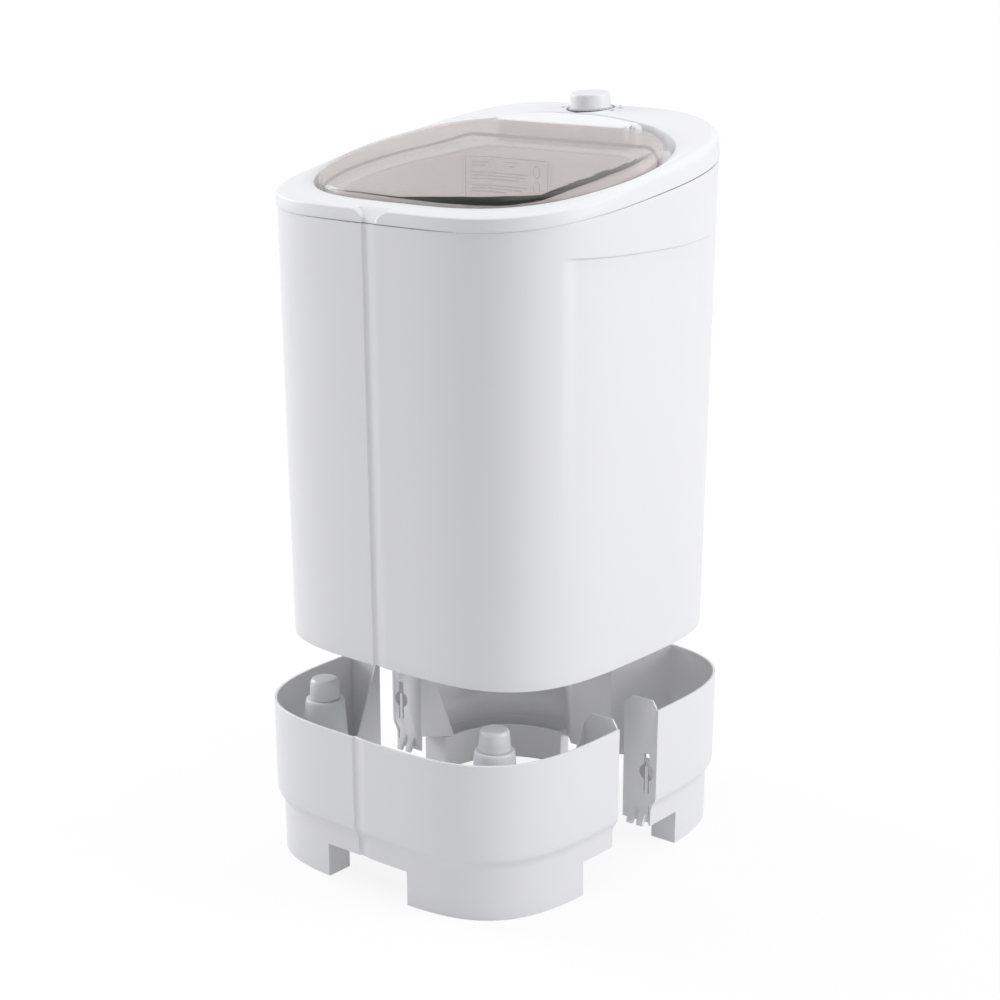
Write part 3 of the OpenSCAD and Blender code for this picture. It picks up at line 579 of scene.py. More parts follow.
def grain_group():
    """Fine moulded grain: a tint, a roughness and a height that change over the surface."""
    tree = bpy.data.node_groups.get("moulded_grain")
    if tree:
        return tree
    tree = bpy.data.node_groups.new("moulded_grain", "ShaderNodeTree")
    group_io(tree, "INPUT", "NodeSocketColor", "Colour", (0.8, 0.8, 0.8, 1))
    defaults = {"Roughness": 0.4, "Grain Scale": 900.0, "Cloud Scale": 9.0, "Tint Change": 0.03}
    for name, value in defaults.items():
        group_io(tree, "INPUT", "NodeSocketFloat", name, value)
    for name, kind in (("Colour", "Color"), ("Roughness", "Float"), ("Height", "Float")):
        group_io(tree, "OUTPUT", "NodeSocket" + kind, name)
    given = make(tree, "NodeGroupInput").outputs
    place = make(tree, "ShaderNodeTexCoord").outputs["Object"]
    fine = make(tree, "ShaderNodeTexNoise", Vector=place, Scale=given["Grain Scale"], Detail=2.0)
    cloud = make(tree, "ShaderNodeTexNoise", Vector=place, Scale=given["Cloud Scale"], Detail=3.0)
    centred = maths(tree, "SUBTRACT", cloud.outputs["Fac"], 0.5)
    value = maths(tree, "ADD", maths(tree, "MULTIPLY", centred, given["Tint Change"]), 1.0)
    tinted = make(tree, "ShaderNodeHueSaturation", Value=value, Color=given["Colour"])
    rough = maths(tree, "MULTIPLY_ADD", centred, 0.12, given["Roughness"])
    make(tree, "NodeGroupOutput", Colour=tinted.outputs["Color"], Roughness=rough, Height=fine.outputs["Fac"])
    return tree


def new_material(name):
    mat = bpy.data.materials.new(name)
    mat.use_nodes = True
    return mat, mat.node_tree, mat.node_tree.nodes["Principled BSDF"]


def moulded(name, colour, rough=0.4, metallic=0.0, grain=900.0, cloud=9.0, tint=0.03, bump=0.06, coat=0.0):
    """A plain finish with grain."""
    mat = bpy.data.materials.get(name)
    if mat:
        return mat
    mat, tree, shader = new_material(name)
    mat.diffuse_color = (*colour, 1)
    group = tree.nodes.new("ShaderNodeGroup")
    group.node_tree = grain_group()
    feed(tree, group, Colour=(*colour, 1), Roughness=rough, Grain_Scale=grain, Cloud_Scale=cloud,
         Tint_Change=tint)
    out = group.outputs
    raised = make(tree, "ShaderNodeBump", Strength=bump, Distance=0.0002, Height=out["Height"])
    feed(tree, shader, Base_Color=out["Colour"], Roughness=out["Roughness"], Normal=raised.outputs["Normal"],
         Metallic=metallic, Coat_Weight=coat)
    return mat


def colours():
    return bpy.context.scene.washer_colours


def sizes():
    return bpy.context.scene.washer_sizes


def finish(kind):
    """One of the plain finishes: name, colour, roughness, metal, grain, cloud, tint, bump and coat."""
    tone = colours()
    return moulded(*{
        "shell": ("satin white plastic", tuple(tone.shell), 0.42, 0.0, 900.0, 9.0, 0.012),
        "tub": ("tub plastic", tuple(tone.tub), 0.34, 0.0, 500.0, 9.0, 0.02),
        "post": ("milky plastic", tuple(tone.post), 0.3, 0.0, 600.0, 9.0, 0.03, 0.06, 0.1),
        "strip": ("hinge strip white", tuple(tone.strip), 0.36, 0.0, 900.0, 9.0, 0.01),
        "knob": ("knob white", tuple(tone.knob), 0.38, 0.0, 900.0, 9.0, 0.01),
        "marks": ("printed marks", tuple(tone.marks), 0.6),
        "dial": ("dial face", (0.74, 0.74, 0.75), 0.45),
        "panel": ("instruction panel", (0.62, 0.61, 0.61), 0.5),
        "print": ("panel print", (0.05, 0.047, 0.047), 0.6),
        "steel": ("zinc plated steel", (0.60, 0.60, 0.61), 0.36, 1.0, 1400.0, 40.0, 0.16, 0.15),
        "alloy": ("cast alloy", (0.52, 0.53, 0.54), 0.55, 0.9, 700.0, 25.0, 0.2, 0.4),
        "bronze": ("sintered bronze", (0.50, 0.34, 0.16), 0.5, 1.0, 1600.0, 40.0, 0.2, 0.4),
        "rubber": ("black rubber", (0.03, 0.03, 0.032), 0.75, 0.0, 800.0, 30.0, 0.3, 0.3),
        "grey": ("grey plastic", (0.42, 0.42, 0.43), 0.5, 0.0, 900.0, 9.0, 0.06),
    }[kind])


def smoky_lid():
    """See-through tinted plastic with a band of painted shade near its edge, where the shaded inside shows
    through: a clear share in front of a satin one.
    """
    mat, tree, shader = new_material("smoky clear lid")
    tint = tuple(colours().lid)
    mat.diffuse_color = (*tint, 0.5)
    place = make(tree, "ShaderNodeTexCoord").outputs["Object"]
    cloud = make(tree, "ShaderNodeTexNoise", Vector=place, Scale=14.0, Detail=2.0).outputs["Fac"]
    band = tree.nodes.new("ShaderNodeAttribute")
    band.attribute_name = "painted_shade_band"
    # Painted shade: within the band the lid turns nearly opaque and near black.
    cover = make(tree, "ShaderNodeMix", Factor=band.outputs["Fac"], A=spread(tree, cloud, 0.31, 0.37), B=0.94)
    tone = tree.nodes.new("ShaderNodeMix")
    tone.data_type = "RGBA"
    feed(tree, tone, Factor=band.outputs["Fac"], A=(*tint, 1), B=(0.02, 0.018, 0.017, 1))
    feed(tree, shader, Alpha=cover.outputs["Result"], Roughness=spread(tree, cloud, 0.16, 0.24),
         Base_Color=tone.outputs["Result"], IOR=1.46, Specular_IOR_Level=0.28)
    return mat


# Pieces.


def cabinet_wall(s):
    """The tapering wall with its flute and the two side panels."""
    sides = [-146, -143, -140, -137, -134, -130, -126, -122, 96, 102, 108, 114, 120, 126, 132]
    phi = case_angles(300, 0.0, FLUTE_STATIONS, sides)
    base = plan(phi, case_radius(phi, 0, 0))
    y0 = base[:, 1]
    ledge, top = ledge_z(y0), seam_z(y0) - SEAM_GAP
    drops = [14, 10, 7, 5, 3.6, 3.0, 2.5, 2.0, 1.6, 1.2, 0.8, 0.4, 0.1, 0.0]
    levels = [0 * ledge, 0 * ledge + 0.6, 0 * ledge + 2]
    levels += [f * (ledge - 14) for f in np.linspace(0.03, 1, 26)[:-1]]
    levels += [ledge - d for d in drops]
    levels += [ledge + f * (top - ledge) for f in (0.02, 0.06, 0.15, 0.35, 0.6, 0.85, 0.97)]
    levels += [top - 0.6, top]
    depth = s.panel_depth / MM
    flute = s.flute_depth / MM * flute_profile(base[:, 0]) * (y0 < 0)
    side = smooth((np.abs(base[:, 0]) - 120) / 40)
    along = smooth((y0 - SIDE_FRONT) / 26) * (1 - smooth((y0 - SIDE_BACK) / 34))

    def ring(z, inset):
        out = plan(phi, case_radius(phi, inset, 0) + DRAFT * z)
        hollow = depth * side * along * smooth((ledge - z) / 3.2) * np.clip((z - 90) / 400, 0, 1)
        x = out[:, 0] - np.sign(out[:, 0]) * hollow
        return np.stack([x, out[:, 1] + flute, z + 0 * y0], axis=1)

    rounding = [0.9, 0.25] + [0.0] * (len(levels) - 4) + [0.12, 0.5]
    rings = [ring(z, i) for z, i in zip(levels, rounding)]
    rings += [ring(z, WALL) for z in reversed(levels[::3])]
    if len(levels) % 3 != 1:
        rings.insert(len(levels), ring(levels[-1], WALL))
    return tube_shell("cabinet_wall", rings, CABINET_LOW)


def cover_moulding(s):
    """The cover: band, crease, rolling top, raised deck, recess wall, shelf and mouth."""
    centre = -14.0
    phi = case_angles(330, centre, list(np.arange(-31, 30, 0.85)))
    rim = case_radius(phi, 0, RIM_GROWTH, centre)
    recess = recess_radius(phi, 0, centre)
    mouth = mouth_radius(phi, 0, centre)
    ux, uy = np.cos(phi), np.sin(phi)
    depth = s.flute_depth / MM
    notch = s.notch_depth / MM
    seam_y = centre + rim * uy
    seam = seam_z(seam_y)
    x_front = rim * ux
    is_front = (uy < 0).astype(float)
    flute = depth * flute_profile(x_front) * is_front

    def point(r, z):
        return ring_at(phi, r, z, centre)

    def funnel(h):
        """Inset of the notch at a height above the seam: narrow below, flared at the crease."""
        k = np.clip(h / CREASE_H, 0, 1)
        left, right = FLUTE_LEFT - NOTCH_FLARE * k**3, NOTCH_RIGHT + NOTCH_FLARE * k**3
        edge = smooth((x_front - left) / (1.4 + 1.2 * k)) * smooth((right - x_front) / (2.2 + 1.0 * k))
        return notch * k**1.4 * edge * is_front

    rings = []
    for h, inset in ((0, 0.5), (0.5, 0.1), (1.2, 0), (2.6, 0.1), (4.2, 0.2), (5.8, 0.35), (7.2, 0.5),
                     (8.6, 0.65), (9.8, 0.8), (10.9, 0.95), (11.9, 1.05), (12.8, 1.15), (13.5, 1.25),
                     (14.0, 1.32)):
        rings.append(point(rim - inset - np.maximum(flute, funnel(h)), seam + h))
    gap = rim - BAND_LEAN - recess
    width = np.minimum(BROW_W, 0.62 * gap)
    brow_y = centre + (rim - width) * uy
    t = share(brow_y)
    brow = seam_z(brow_y) + 16.5 + 21.5 * t - 7 * t * t * np.minimum(1, np.abs(rim * ux) / HALF_W) ** 3
    start = seam + BAND_TOP
    crisp = smooth((70 - seam_y) / 200)
    for f in (0.012, 0.035, 0.08, 0.14, 0.22, 0.32, 0.44, 0.58, 0.74, 0.9, 1.0):
        lip = 0.55 * (1 - math.exp(-f * BROW_W / 0.22))
        plain = lip + (brow - start - lip) * (1 - (1 - f) ** 2.1)
        roll = (brow - start) * (1 - (1 - f) ** 2.3) ** (1 / 2.3)
        cut = np.maximum(flute, funnel(CREASE_H)) * (1 - f) ** 1.5
        z = start + crisp * plain + (1 - crisp) * roll
        rings.append(point(rim - BAND_LEAN - f * width - cut, z - 0.2 * funnel(CREASE_H) * (1 - f) * f * 4))
    inner = recess + RIM_ROUND
    inner_z = rim_z(inner * ux, centre + inner * uy)
    for f in (0.15, 0.35, 0.6, 0.85, 1.0):
        r = (rim - BAND_LEAN - width) * (1 - f) + inner * f
        rings.append(point(r, brow * (1 - f) + inner_z * f + 1.2 * math.sin(math.pi * f)))
    for dr, dz in ((0.9, -0.25), (0.35, -0.8), (0.0, -1.7), (-0.15, -3.0)):
        rings.append(point(recess + dr, inner_z + dz))
    shelf = shelf_z(centre + (recess - 5) * uy)
    for f in (0.3, 0.6, 0.85):
        r = recess - 0.15 - 3.2 * f
        rings.append(point(r, (inner_z - 3) * (1 - f) + (shelf + 3) * f))
    for dr, dz in ((-3.7, 1.6), (-4.6, 0.5), (-6.2, 0.0)):
        rings.append(point(recess + dr, shelf + dz))
    for f in (0.25, 0.5, 0.75, 0.93):
        r = (recess - 6.2) * (1 - f) + (mouth + 1.2) * f
        rings.append(point(r, shelf_z(centre + r * uy) - f))
    lip = shelf_z(centre + mouth * uy) - 1
    for dr, dz in ((1.2, 0.0), (0.4, -0.4), (0.0, -1.2), (0.0, -2.6)):
        rings.append(point(mouth + dr, lip + dz))
    rings.append(point(mouth + 0.3, lip - 3.0))
    under = recess - 1.0
    rings.append(point((mouth + under) / 2, shelf_z(centre + (mouth + under) / 2 * uy) - 4))
    rings.append(point(under, shelf - 4))
    rings.append(point(recess + 2.0, inner_z - 4.5))
    rings.append(point(rim - BAND_LEAN - width - 1.0, brow - 4.5))
    rings.append(point(rim - 4.6 - np.maximum(flute, funnel(12.5)), seam + 10))
    rings.append(point(rim - 3.0 - flute, seam))
    return tube_shell("cover_moulding", rings, CABINET_LOW)


def hinge_height():
    """The height of the hinge pins over the lid's plane."""
    return float(lid_z(np.array([125.0]))[0]) + PIN_RISE


def hinge_lugs():
    """The two lugs that hold the hinge pins, round at the top."""
    low, top = float(shelf_z(np.array([HINGE_Y]))[0]) - 2, hinge_height() + 5
    turn = np.linspace(0, math.pi, 17)
    arch = [(LUG_R * math.cos(t), top - LUG_R + LUG_R * math.sin(t)) for t in turn]
    side = [(LUG_R, low)] + arch + [(-LUG_R, low)]
    parts = []
    for x0 in (101, -109):
        rings = []
        for x, cut in ((x0, 0.6), (x0 + 0.6, 0.0), (x0 + 7.4, 0.0), (x0 + 8, 0.6)):
            row = [(x, HINGE_Y + y * (1 - cut / 7), z - cut) for y, z in side]
            rings.append(np.array(row))
        parts.append(shade(capped_loft("lug", rings), 40))
    return merge_objects("hinge_lugs", parts)


def hose_recess(grow, back):
    """Plan of the recess for the hose, which flares to the back."""
    narrow = HOSE_HALF + 0.45 * grow
    wide = HOSE_HALF + HOSE_FLARE * (back - HOSE_Y) + 1.45 * grow
    return [(-narrow, HOSE_Y - grow), (narrow, HOSE_Y - grow), (wide, back), (-wide, back)]


def stand_part(name, sign, s):
    """One half of the stand: wall with step, feet, arches, and the hose recess at the back."""
    phi = case_angles(240, 0.0, FLUTE_STATIONS)
    base = plan(phi, case_radius(phi, 0, 0))
    flute = s.flute_depth / MM * flute_profile(base[:, 0]) * (base[:, 1] < 0)
    big, far = HALF_W + 40, HALF_D + 40

    def loops(rows, shift=0.0):
        """Rings from rows of height and inset."""
        rings = [ring_at(phi, case_radius(phi, inset, 0), z) for z, inset in rows]
        for ring in rings:
            ring[:, 1] += shift
        return rings

    def band(title, low, high, near, deep):
        return tube_shell(title, loops([(low, near), (high, near), (high, deep), (low, deep)], flute))

    def slab(title, low, high, inset):
        return closed_cup(title, loops([(low, inset), (high, inset)]), (0, 0, low), (0, 0, high))

    def cut_arches(obj, grow, top):
        """The openings between the feet, across the front and the sides."""
        wide, side = ARCH_HALF + grow, SIDE_ARCH_HALF + grow
        for x, y in ((wide, far), (big, side)):
            join_shape(obj, box_piece("arch", (-x, -y, -5), (x, y, top)), "DIFFERENCE")

    step = FOOT_INSET - 0.8
    outer = fillet([(0, FOOT_INSET), (30, FOOT_INSET - 0.2), (66, step), (STEP_LOW, FOOT_INSET - 3.2),
                    (STEP_HIGH, 1.6), (90, 1.2), (STAND_TOP - 4, 0.0)], 5.0)
    outer = [(0, FOOT_INSET + 0.5), (0.6, FOOT_INSET)] + outer[1:-1]
    outer += [(STAND_TOP - 0.5, 0.0), (STAND_TOP, 0.5)]
    inner = [(STAND_TOP, WALL - 0.5), (STAND_TOP - 0.5, WALL), (82, 1.5 + WALL), (77, 3 + WALL),
             (71, FOOT_INSET - 2.6 + WALL), (66, step + WALL), (0, FOOT_INSET + WALL)]
    shell = tube_shell(name, loops(outer + inner, flute))
    feet = band("feet", 0, ARCH_H + WALL, FOOT_INSET + 1, FOOT_INSET + FOOT_DEPTH)
    hollow = band("hollow", WALL, ARCH_H + 9, FOOT_INSET + WALL, FOOT_INSET + FOOT_DEPTH - WALL)
    cut_arches(hollow, WALL, ARCH_H + 10)
    join_shape(feet, hollow, "DIFFERENCE")
    side = SIDE_ARCH_HALF
    open_side = box_piece("open_side", (-big, -side, ARCH_H - 1), (big, side, ARCH_H + 10))
    join_shape(feet, open_side, "DIFFERENCE")
    join_shape(shell, feet, "UNION")
    if sign > 0:
        block = prism("hose_recess", hose_recess(WALL, 239), ARCH_H, STAND_TOP - 0.001)
        join_shape(block, slab("fill", ARCH_H - 1, STAND_TOP - 0.001, 1.5), "INTERSECT")
        join_shape(shell, block, "UNION")
        join_shape(shell, prism("cut", hose_recess(0, 260), -10, STAND_TOP + 10), "DIFFERENCE")
    else:
        for sx in (-1, 1):
            x0, x1 = sorted((sx * 92, sx * big))
            shelf = slab("shelf", ARCH_H, ARCH_H + WALL, FOOT_INSET + 1)
            join_shape(shelf, box_piece("corner", (x0, -far, 0), (x1, -92, ARCH_H + 9)), "INTERSECT")
            join_shape(shell, shelf, "UNION")
    cut_arches(shell, 0, ARCH_H)
    y0, y1 = (0, far) if sign < 0 else (-far, 0)
    join_shape(shell, box_piece("other_half", (-big, y0, -5), (big, y1, STAND_TOP + 5)), "DIFFERENCE")
    shell.data.transform(Matrix.Translation((0, (FRONT_CUT if sign < 0 else REAR_CUT) * MM, 0)))
    return shell


def tub_vessel():
    """The tub: round below, lens-shaped at the mouth, with its shaft bore and its drain."""
    phi = case_angles(220, LID_MID)
    ux, uy = np.cos(phi), np.sin(phi)
    straight = SEAM_FRONT - 29

    def blend(r, k, z):
        """A round ring that becomes the mouth's outline as k goes to 1."""
        m = mouth_radius(phi, 0.5, LID_MID)
        x = r * ux * (1 - k) + m * ux * k
        y = (TUB_Y + r * uy) * (1 - k) + (LID_MID + m * uy) * k
        return np.stack([x, y, np.full(len(phi), z)], axis=1)

    def wall(grow, z):
        return ring_at(phi, mouth_radius(phi, grow, LID_MID), z, LID_MID)

    def bore(name, radius, at):
        profile = [(0, TUB_FLOOR - 20), (radius, TUB_FLOOR - 20), (radius, TUB_FLOOR + 6), (0, TUB_FLOOR + 6)]
        return lathe(name, profile, (*at, CABINET_LOW))

    mouth, recess = mouth_radius(phi, 0, LID_MID), recess_radius(phi, -1, LID_MID)
    under = shelf_z(LID_MID + mouth * uy) - 4
    flange = mouth * 0.72 + recess * 0.28
    flange_z = under * 0.72 + (shelf_z(LID_MID + recess * uy) - 4) * 0.28
    rings = [blend(r, k, TUB_FLOOR + up) for r, k, up in (
        (128, 0, -3.4), (138, 0, 0.5), (142, 0, 8), (TUB_R, 0.06, 60), (TUB_R + TUB_WALL, 0.5, 200))]
    rings += [wall(3.4, straight), wall(3.4, under - 14), ring_at(phi, flange, flange_z - 4, LID_MID),
              ring_at(phi, flange, flange_z - 0.4, LID_MID), wall(1.6, under - 0.4), wall(0.7, under - 0.9),
              wall(0.5, under - 2.5)]
    rings += [wall(0.5, (under - 2.5) * (1 - f) + straight * f) for f in (0.3, 0.7, 1.0)]
    for f in (0.2, 0.4, 0.6, 0.8, 1.0):
        rings.append(blend(TUB_R, 1 - 0.5 * smooth(f), straight + (TUB_FLOOR + 200 - straight) * f))
    for f in (0.25, 0.5, 0.75, 1.0):
        rings.append(blend(TUB_R - TUB_WALL * f, 0.5 - 0.44 * smooth(f), TUB_FLOOR + 200 - 140 * f))
    rings += [blend(r, 0, TUB_FLOOR + up) for r, up in ((143, 26), (139, 11), (134, 3.5), (127, 0))]
    obj = closed_cup("tub_vessel", rings, (0, TUB_Y, TUB_FLOOR - 3.4), (0, TUB_Y, TUB_FLOOR), CABINET_LOW)
    join_shape(obj, bore("shaft_bore", BORE_R, (0, TUB_Y)), "DIFFERENCE")
    return join_shape(obj, bore("drain", DRAIN_R, (100, 20)), "DIFFERENCE")


def lid_loop(phi, level, inset, up, back=None, f=1.0):
    """A ring of the lid: its outline set in and shrunk by f, at a height above a shape rule."""
    r = lid_radius(phi, inset, back) * f
    return ring_at(phi, r, level(LID_MID + r * np.sin(phi)) + up, LID_MID)


def lid_shell():
    """The see-through lid: a domed tray with a rounded shoulder that stands above the rim."""
    phi = case_angles(300, LID_MID)

    def ring(inset, back, up):
        return lid_loop(phi, low_z, inset, up, back)

    def dome(f, inset, back, up):
        return lid_loop(phi, low_z, inset, LID_CROWN * (1 - f * f) ** 0.7 + up, back, f)

    def foot(inset, up):
        return lid_loop(phi, lid_z, inset, up - LID_FOOT_DROP)

    def painted_shade(up):
        """Share of painted shade at a place up the shoulder, where the shaded inside shows dark through the
        lid: thin at the left, broad at the right.
        """
        angle = np.degrees(phi)
        angle = np.where(angle > 90, angle - 360, angle)
        at = (-142, -133, -112, -90, -61, -45, -34, -21, -8, 8, 24)
        first = np.interp(angle, at, (0, 0, 3.7, 2.4, 1.5, 0, 1.5, 9.8, 14.5, 13, 6))
        last = np.interp(angle, at, (0.5, 2.4, 5.4, 4.8, 12.5, 13, 9, 24, 30, 23, 8))
        depth = np.interp(angle, at, (0, 0.95, 0.95, 0.97, 1, 1, 1, 0.88, 0.86, 0.75, 0))
        return depth * smooth((up - first) / 1.1 + 0.5) * smooth((last - up) / 1.6 + 0.5)

    steps = (0.17, 0.34, 0.5, 0.64, 0.76, 0.84, 0.89, 0.925, 0.95, 0.97, 0.985)
    rings = [dome(f, 12, 2.4, LID_RISE - 2.4) for f in steps[:8]]
    for inset, below in ((12, 2.4), (8.5, 3.1), (5.8, 4.6), (3.0, 7), (1.4, 10)):
        rings.append(ring(inset, 2.4, LID_RISE - below))
    for inset, up in ((2.4, 8), (2.4, 0.3), (1.9, 0), (0.5, 0), (0, 0.6), (0, 5), (-0.6, 10)):
        rings.append(foot(inset, up))
    rings.append(ring(-2.2, 0, -2.0))
    # Share of painted shade on each ring; the rings so far carry none.
    shade_shares = [0 * phi] * len(rings)
    along = (0, 1.5, 3.2, 5.0, 6.6, 8.4, 10.3, 12.2, 14.1, 15.9, 18.0)
    insets = (-2.4, -2.0, -1.2, -0.2, 1.0, 2.4, 4.0, 5.8, 7.6, 9.4, 11.5)
    heights = (0.2, 1.6, 3.2, 4.6, 5.8, 6.9, 7.8, 8.5, 9.0, 9.3, 9.5)
    for up in np.arange(0, 18.1, 0.75):
        inset, height = (float(np.interp(up, along, row)) for row in (insets, heights))
        rings.append(ring(inset, 0.4 * up / 18, height))
        shade_shares.append(painted_shade(up))
    for f in reversed(steps):
        rings.append(dome(f, 11.5, 0.4, LID_RISE))
        shade_shares.append(painted_shade(18 + (1 - f) * 205))
    mid = float(low_z(np.array([LID_MID]))[0]) + LID_CROWN + LID_RISE
    lid = closed_cup("lid_shell", rings, (0, LID_MID, mid - 2.4), (0, LID_MID, mid), CABINET_LOW)
    # The painted shade shares are stored on the points for the lid's material.
    band = lid.data.attributes.new("painted_shade_band", "FLOAT", "POINT")
    values = np.concatenate(shade_shares + [np.zeros(2)]).astype(np.float32)
    band.data.foreach_set("value", values)
    return lid


def lid_painted_shade_ring():
    """A black ring inside the lid's foot, seen through it: painted shade for the dark inside behind the lid's
    edge.
    """
    phi = case_angles(300, LID_MID)
    corners = ((2.6, 5.0), (2.6, 8.0), (4.4, 8.0), (4.4, 5.0))
    rings = [lid_loop(phi, lid_z, inset, up - LID_FOOT_DROP) for inset, up in corners]
    return tube_shell("lid_painted_shade_ring", rings, CABINET_LOW)


def strip_bar():
    """The white strip along the hinge: arched across the top, rounded at its ends."""
    z = hinge_height()
    section = fillet(
        [(STRIP_FRONT, -8), (STRIP_FRONT, 1.2), (-12.3, 3.4), (6, 11.4), (9.4, 11.9), (11.8, 9.5),
         (STRIP_BACK, 7), (STRIP_BACK, -7), (-2, -13.8), (STRIP_FRONT, -13.8), (STRIP_FRONT, -8)],
        1.6,
    )[:-1]
    ends = ((0.0, 5.0), (0.4, 3.4), (1.2, 2.2), (2.4, 1.2), (4.0, 0.5), (6.0, 0.0))
    xs = [(-STRIP_HALF + d, cut) for d, cut in ends] + [(float(x), 0.0) for x in np.linspace(-90, 90, 37)]
    xs += [(STRIP_HALF - d, cut) for d, cut in reversed(ends)]
    rings = []
    for x, cut in xs:
        roof = 12.4 - 0.00077 * x * x
        row = []
        for a, b in section:
            over = max(0.0, b - roof)
            across = min(max(a, STRIP_FRONT + cut), STRIP_BACK - 0.4 * cut)
            row.append([x, HINGE_Y + across, z + b - over * 0.97])
        rings.append(np.array(row))
    return capped_loft("hinge_bar", rings)


def dial_matrix():
    """The place and tilt of the dial on the deck."""
    at = Vector((0, DIAL_Y, SEAM_FRONT + SEAM_RISE + DIAL_RISE + CABINET_LOW)) * MM
    return Matrix.Translation(at) @ Matrix.Rotation(DIAL_TILT, 4, "X")


def dial_tick_tree():
    """Marks spread evenly round a circle."""
    tree = bpy.data.node_groups.new("dial_ticks", "GeometryNodeTree")
    group_io(tree, "OUTPUT", "NodeSocketGeometry", "Geometry")
    group_io(tree, "INPUT", "NodeSocketInt", "Count", 32)
    for name, value in (("Radius", 0.028), ("Length", 0.002), ("Width", 0.0005), ("Height", 0.0003)):
        group_io(tree, "INPUT", "NodeSocketFloat", name, value)
    group_io(tree, "INPUT", "NodeSocketMaterial", "Material")
    given = make(tree, "NodeGroupInput").outputs
    circle = make(tree, "GeometryNodeMeshCircle", Vertices=given["Count"], Radius=given["Radius"])
    size = make(tree, "ShaderNodeCombineXYZ", X=given["Length"], Y=given["Width"], Z=given["Height"])
    cube = make(tree, "GeometryNodeMeshCube", Size=size.outputs[0])
    index = make(tree, "GeometryNodeInputIndex").outputs[0]
    angle = maths(tree, "MULTIPLY", index, maths(tree, "DIVIDE", math.tau, given["Count"]))
    turn = make(tree, "ShaderNodeCombineXYZ", Z=angle)
    marks = make(tree, "GeometryNodeInstanceOnPoints", Points=circle.outputs["Mesh"],
                 Instance=cube.outputs["Mesh"], Rotation=turn.outputs[0])
    real = make(tree, "GeometryNodeRealizeInstances", Geometry=marks.outputs[0])
    paint = make(tree, "GeometryNodeSetMaterial", Geometry=real.outputs[0], Material=given["Material"])
    make(tree, "NodeGroupOutput", Geometry=paint.outputs[0])
    return tree


def ticks(s, material):
    """The marks on the dial's face."""
    obj = placed("dial_ticks", bpy.data.meshes.new("dial_ticks"))
    tree = dial_tick_tree()
    mod = obj.modifiers.new("ticks", "NODES")
    mod.node_group = tree
    values = {"Count": s.tick_count, "Radius": TICK_R * MM, "Length": s.tick_length, "Width": 0.5 * MM,
              "Height": 0.3 * MM, "Material": material}
    for item in tree.interface.items_tree:
        if item.item_type == "SOCKET" and item.in_out == "INPUT":
            mod[item.identifier] = values[item.name]
    bake(obj)
    obj.data.transform(dial_matrix() @ Matrix.Translation((0, 0, 1.35 * MM)))
    return obj


def dial_numbers(cover):
    """Plain numbers round the dial, laid on the deck."""
    mesh = cover.data
    tree = BVHTree.FromPolygons([v.co for v in mesh.vertices], [tuple(p.vertices) for p in mesh.polygons])
    centre = dial_matrix().translation
    parts = []
    for text, degrees in (("0", 192), ("3", 162), ("6", 130), ("9", 50), ("12", 18), ("15", -12)):
        curve = bpy.data.curves.new("number", "FONT")
        curve.body, curve.size, curve.extrude, curve.resolution_u = text, NUMBER_H * MM, 0.1 * MM, 3
        curve.align_x, curve.align_y = "CENTER", "CENTER"
        holder = placed("number", curve)
        flat = evaluated(holder)
        bpy.data.objects.remove(holder, do_unlink=True)
        angle = math.radians(degrees)
        x0, y0 = centre.x + NUMBER_RX * MM * math.cos(angle), centre.y + NUMBER_RY * MM * math.sin(angle)
        for v in flat.vertices:
            x, y, up = v.co.x + x0, v.co.y + y0, v.co.z
            hit = tree.ray_cast(Vector((x, y, centre.z + 0.1)), Vector((0, 0, -1)))[0]
            if hit is None:
                raise RuntimeError("a dial number lies outside the cover")
            v.co = Vector((x, y, hit.z + up + 0.00014))
        parts.append(bpy.data.objects.new("number", flat))
    obj = merge_objects("dial_numbers", parts)
    return edit_mesh(obj, lambda bm: bmesh.ops.remove_doubles(bm, verts=bm.verts, dist=1e-7))


def panel_face(x):
    """Depth of the panel's face at a place across the tub."""
    half_w, half_d = MOUTH_HALF[0] - PANEL_GAP, MOUTH_HALF[1] - PANEL_GAP
    reach = np.minimum(np.abs(x) / half_w, 0.999)
    return np.minimum(MOUTH_BACK - PANEL_GAP, LID_MID + half_d * (1 - reach**LENS_X) ** (1 / LENS_Y))


def mark_line(points, half, closed=False):
    """A thin raised line on the panel through points (x, z)."""
    pts = np.array(points, float)
    if closed:
        ahead, behind = np.roll(pts, -1, 0), np.roll(pts, 1, 0)
    else:
        ahead = np.vstack([pts[1:], 2 * pts[-1:] - pts[-2:-1]])
        behind = np.vstack([2 * pts[:1] - pts[1:2], pts[:-1]])
    along = ahead - behind
    along /= np.linalg.norm(along, axis=1)[:, None]
    side = np.stack([-along[:, 1], along[:, 0]], axis=1) * half
    rows = []
    for a, b in zip(pts + side, pts - side):
        for (x, z), off in ((a, 0.16), (b, 0.16), (b, 0.02), (a, 0.02)):
            rows.append((x, panel_face(x) - off, z))
    n = len(pts)
    faces = ring_faces(n, 4)
    if closed:
        last = (n - 1) * 4
        faces += [(last + j, last + (j + 1) % 4, (j + 1) % 4, j) for j in range(4)]
    else:
        faces += [(3, 2, 1, 0), tuple((n - 1) * 4 + j for j in range(4))]
    return mesh_from("mark", rows, faces, CABINET_LOW)


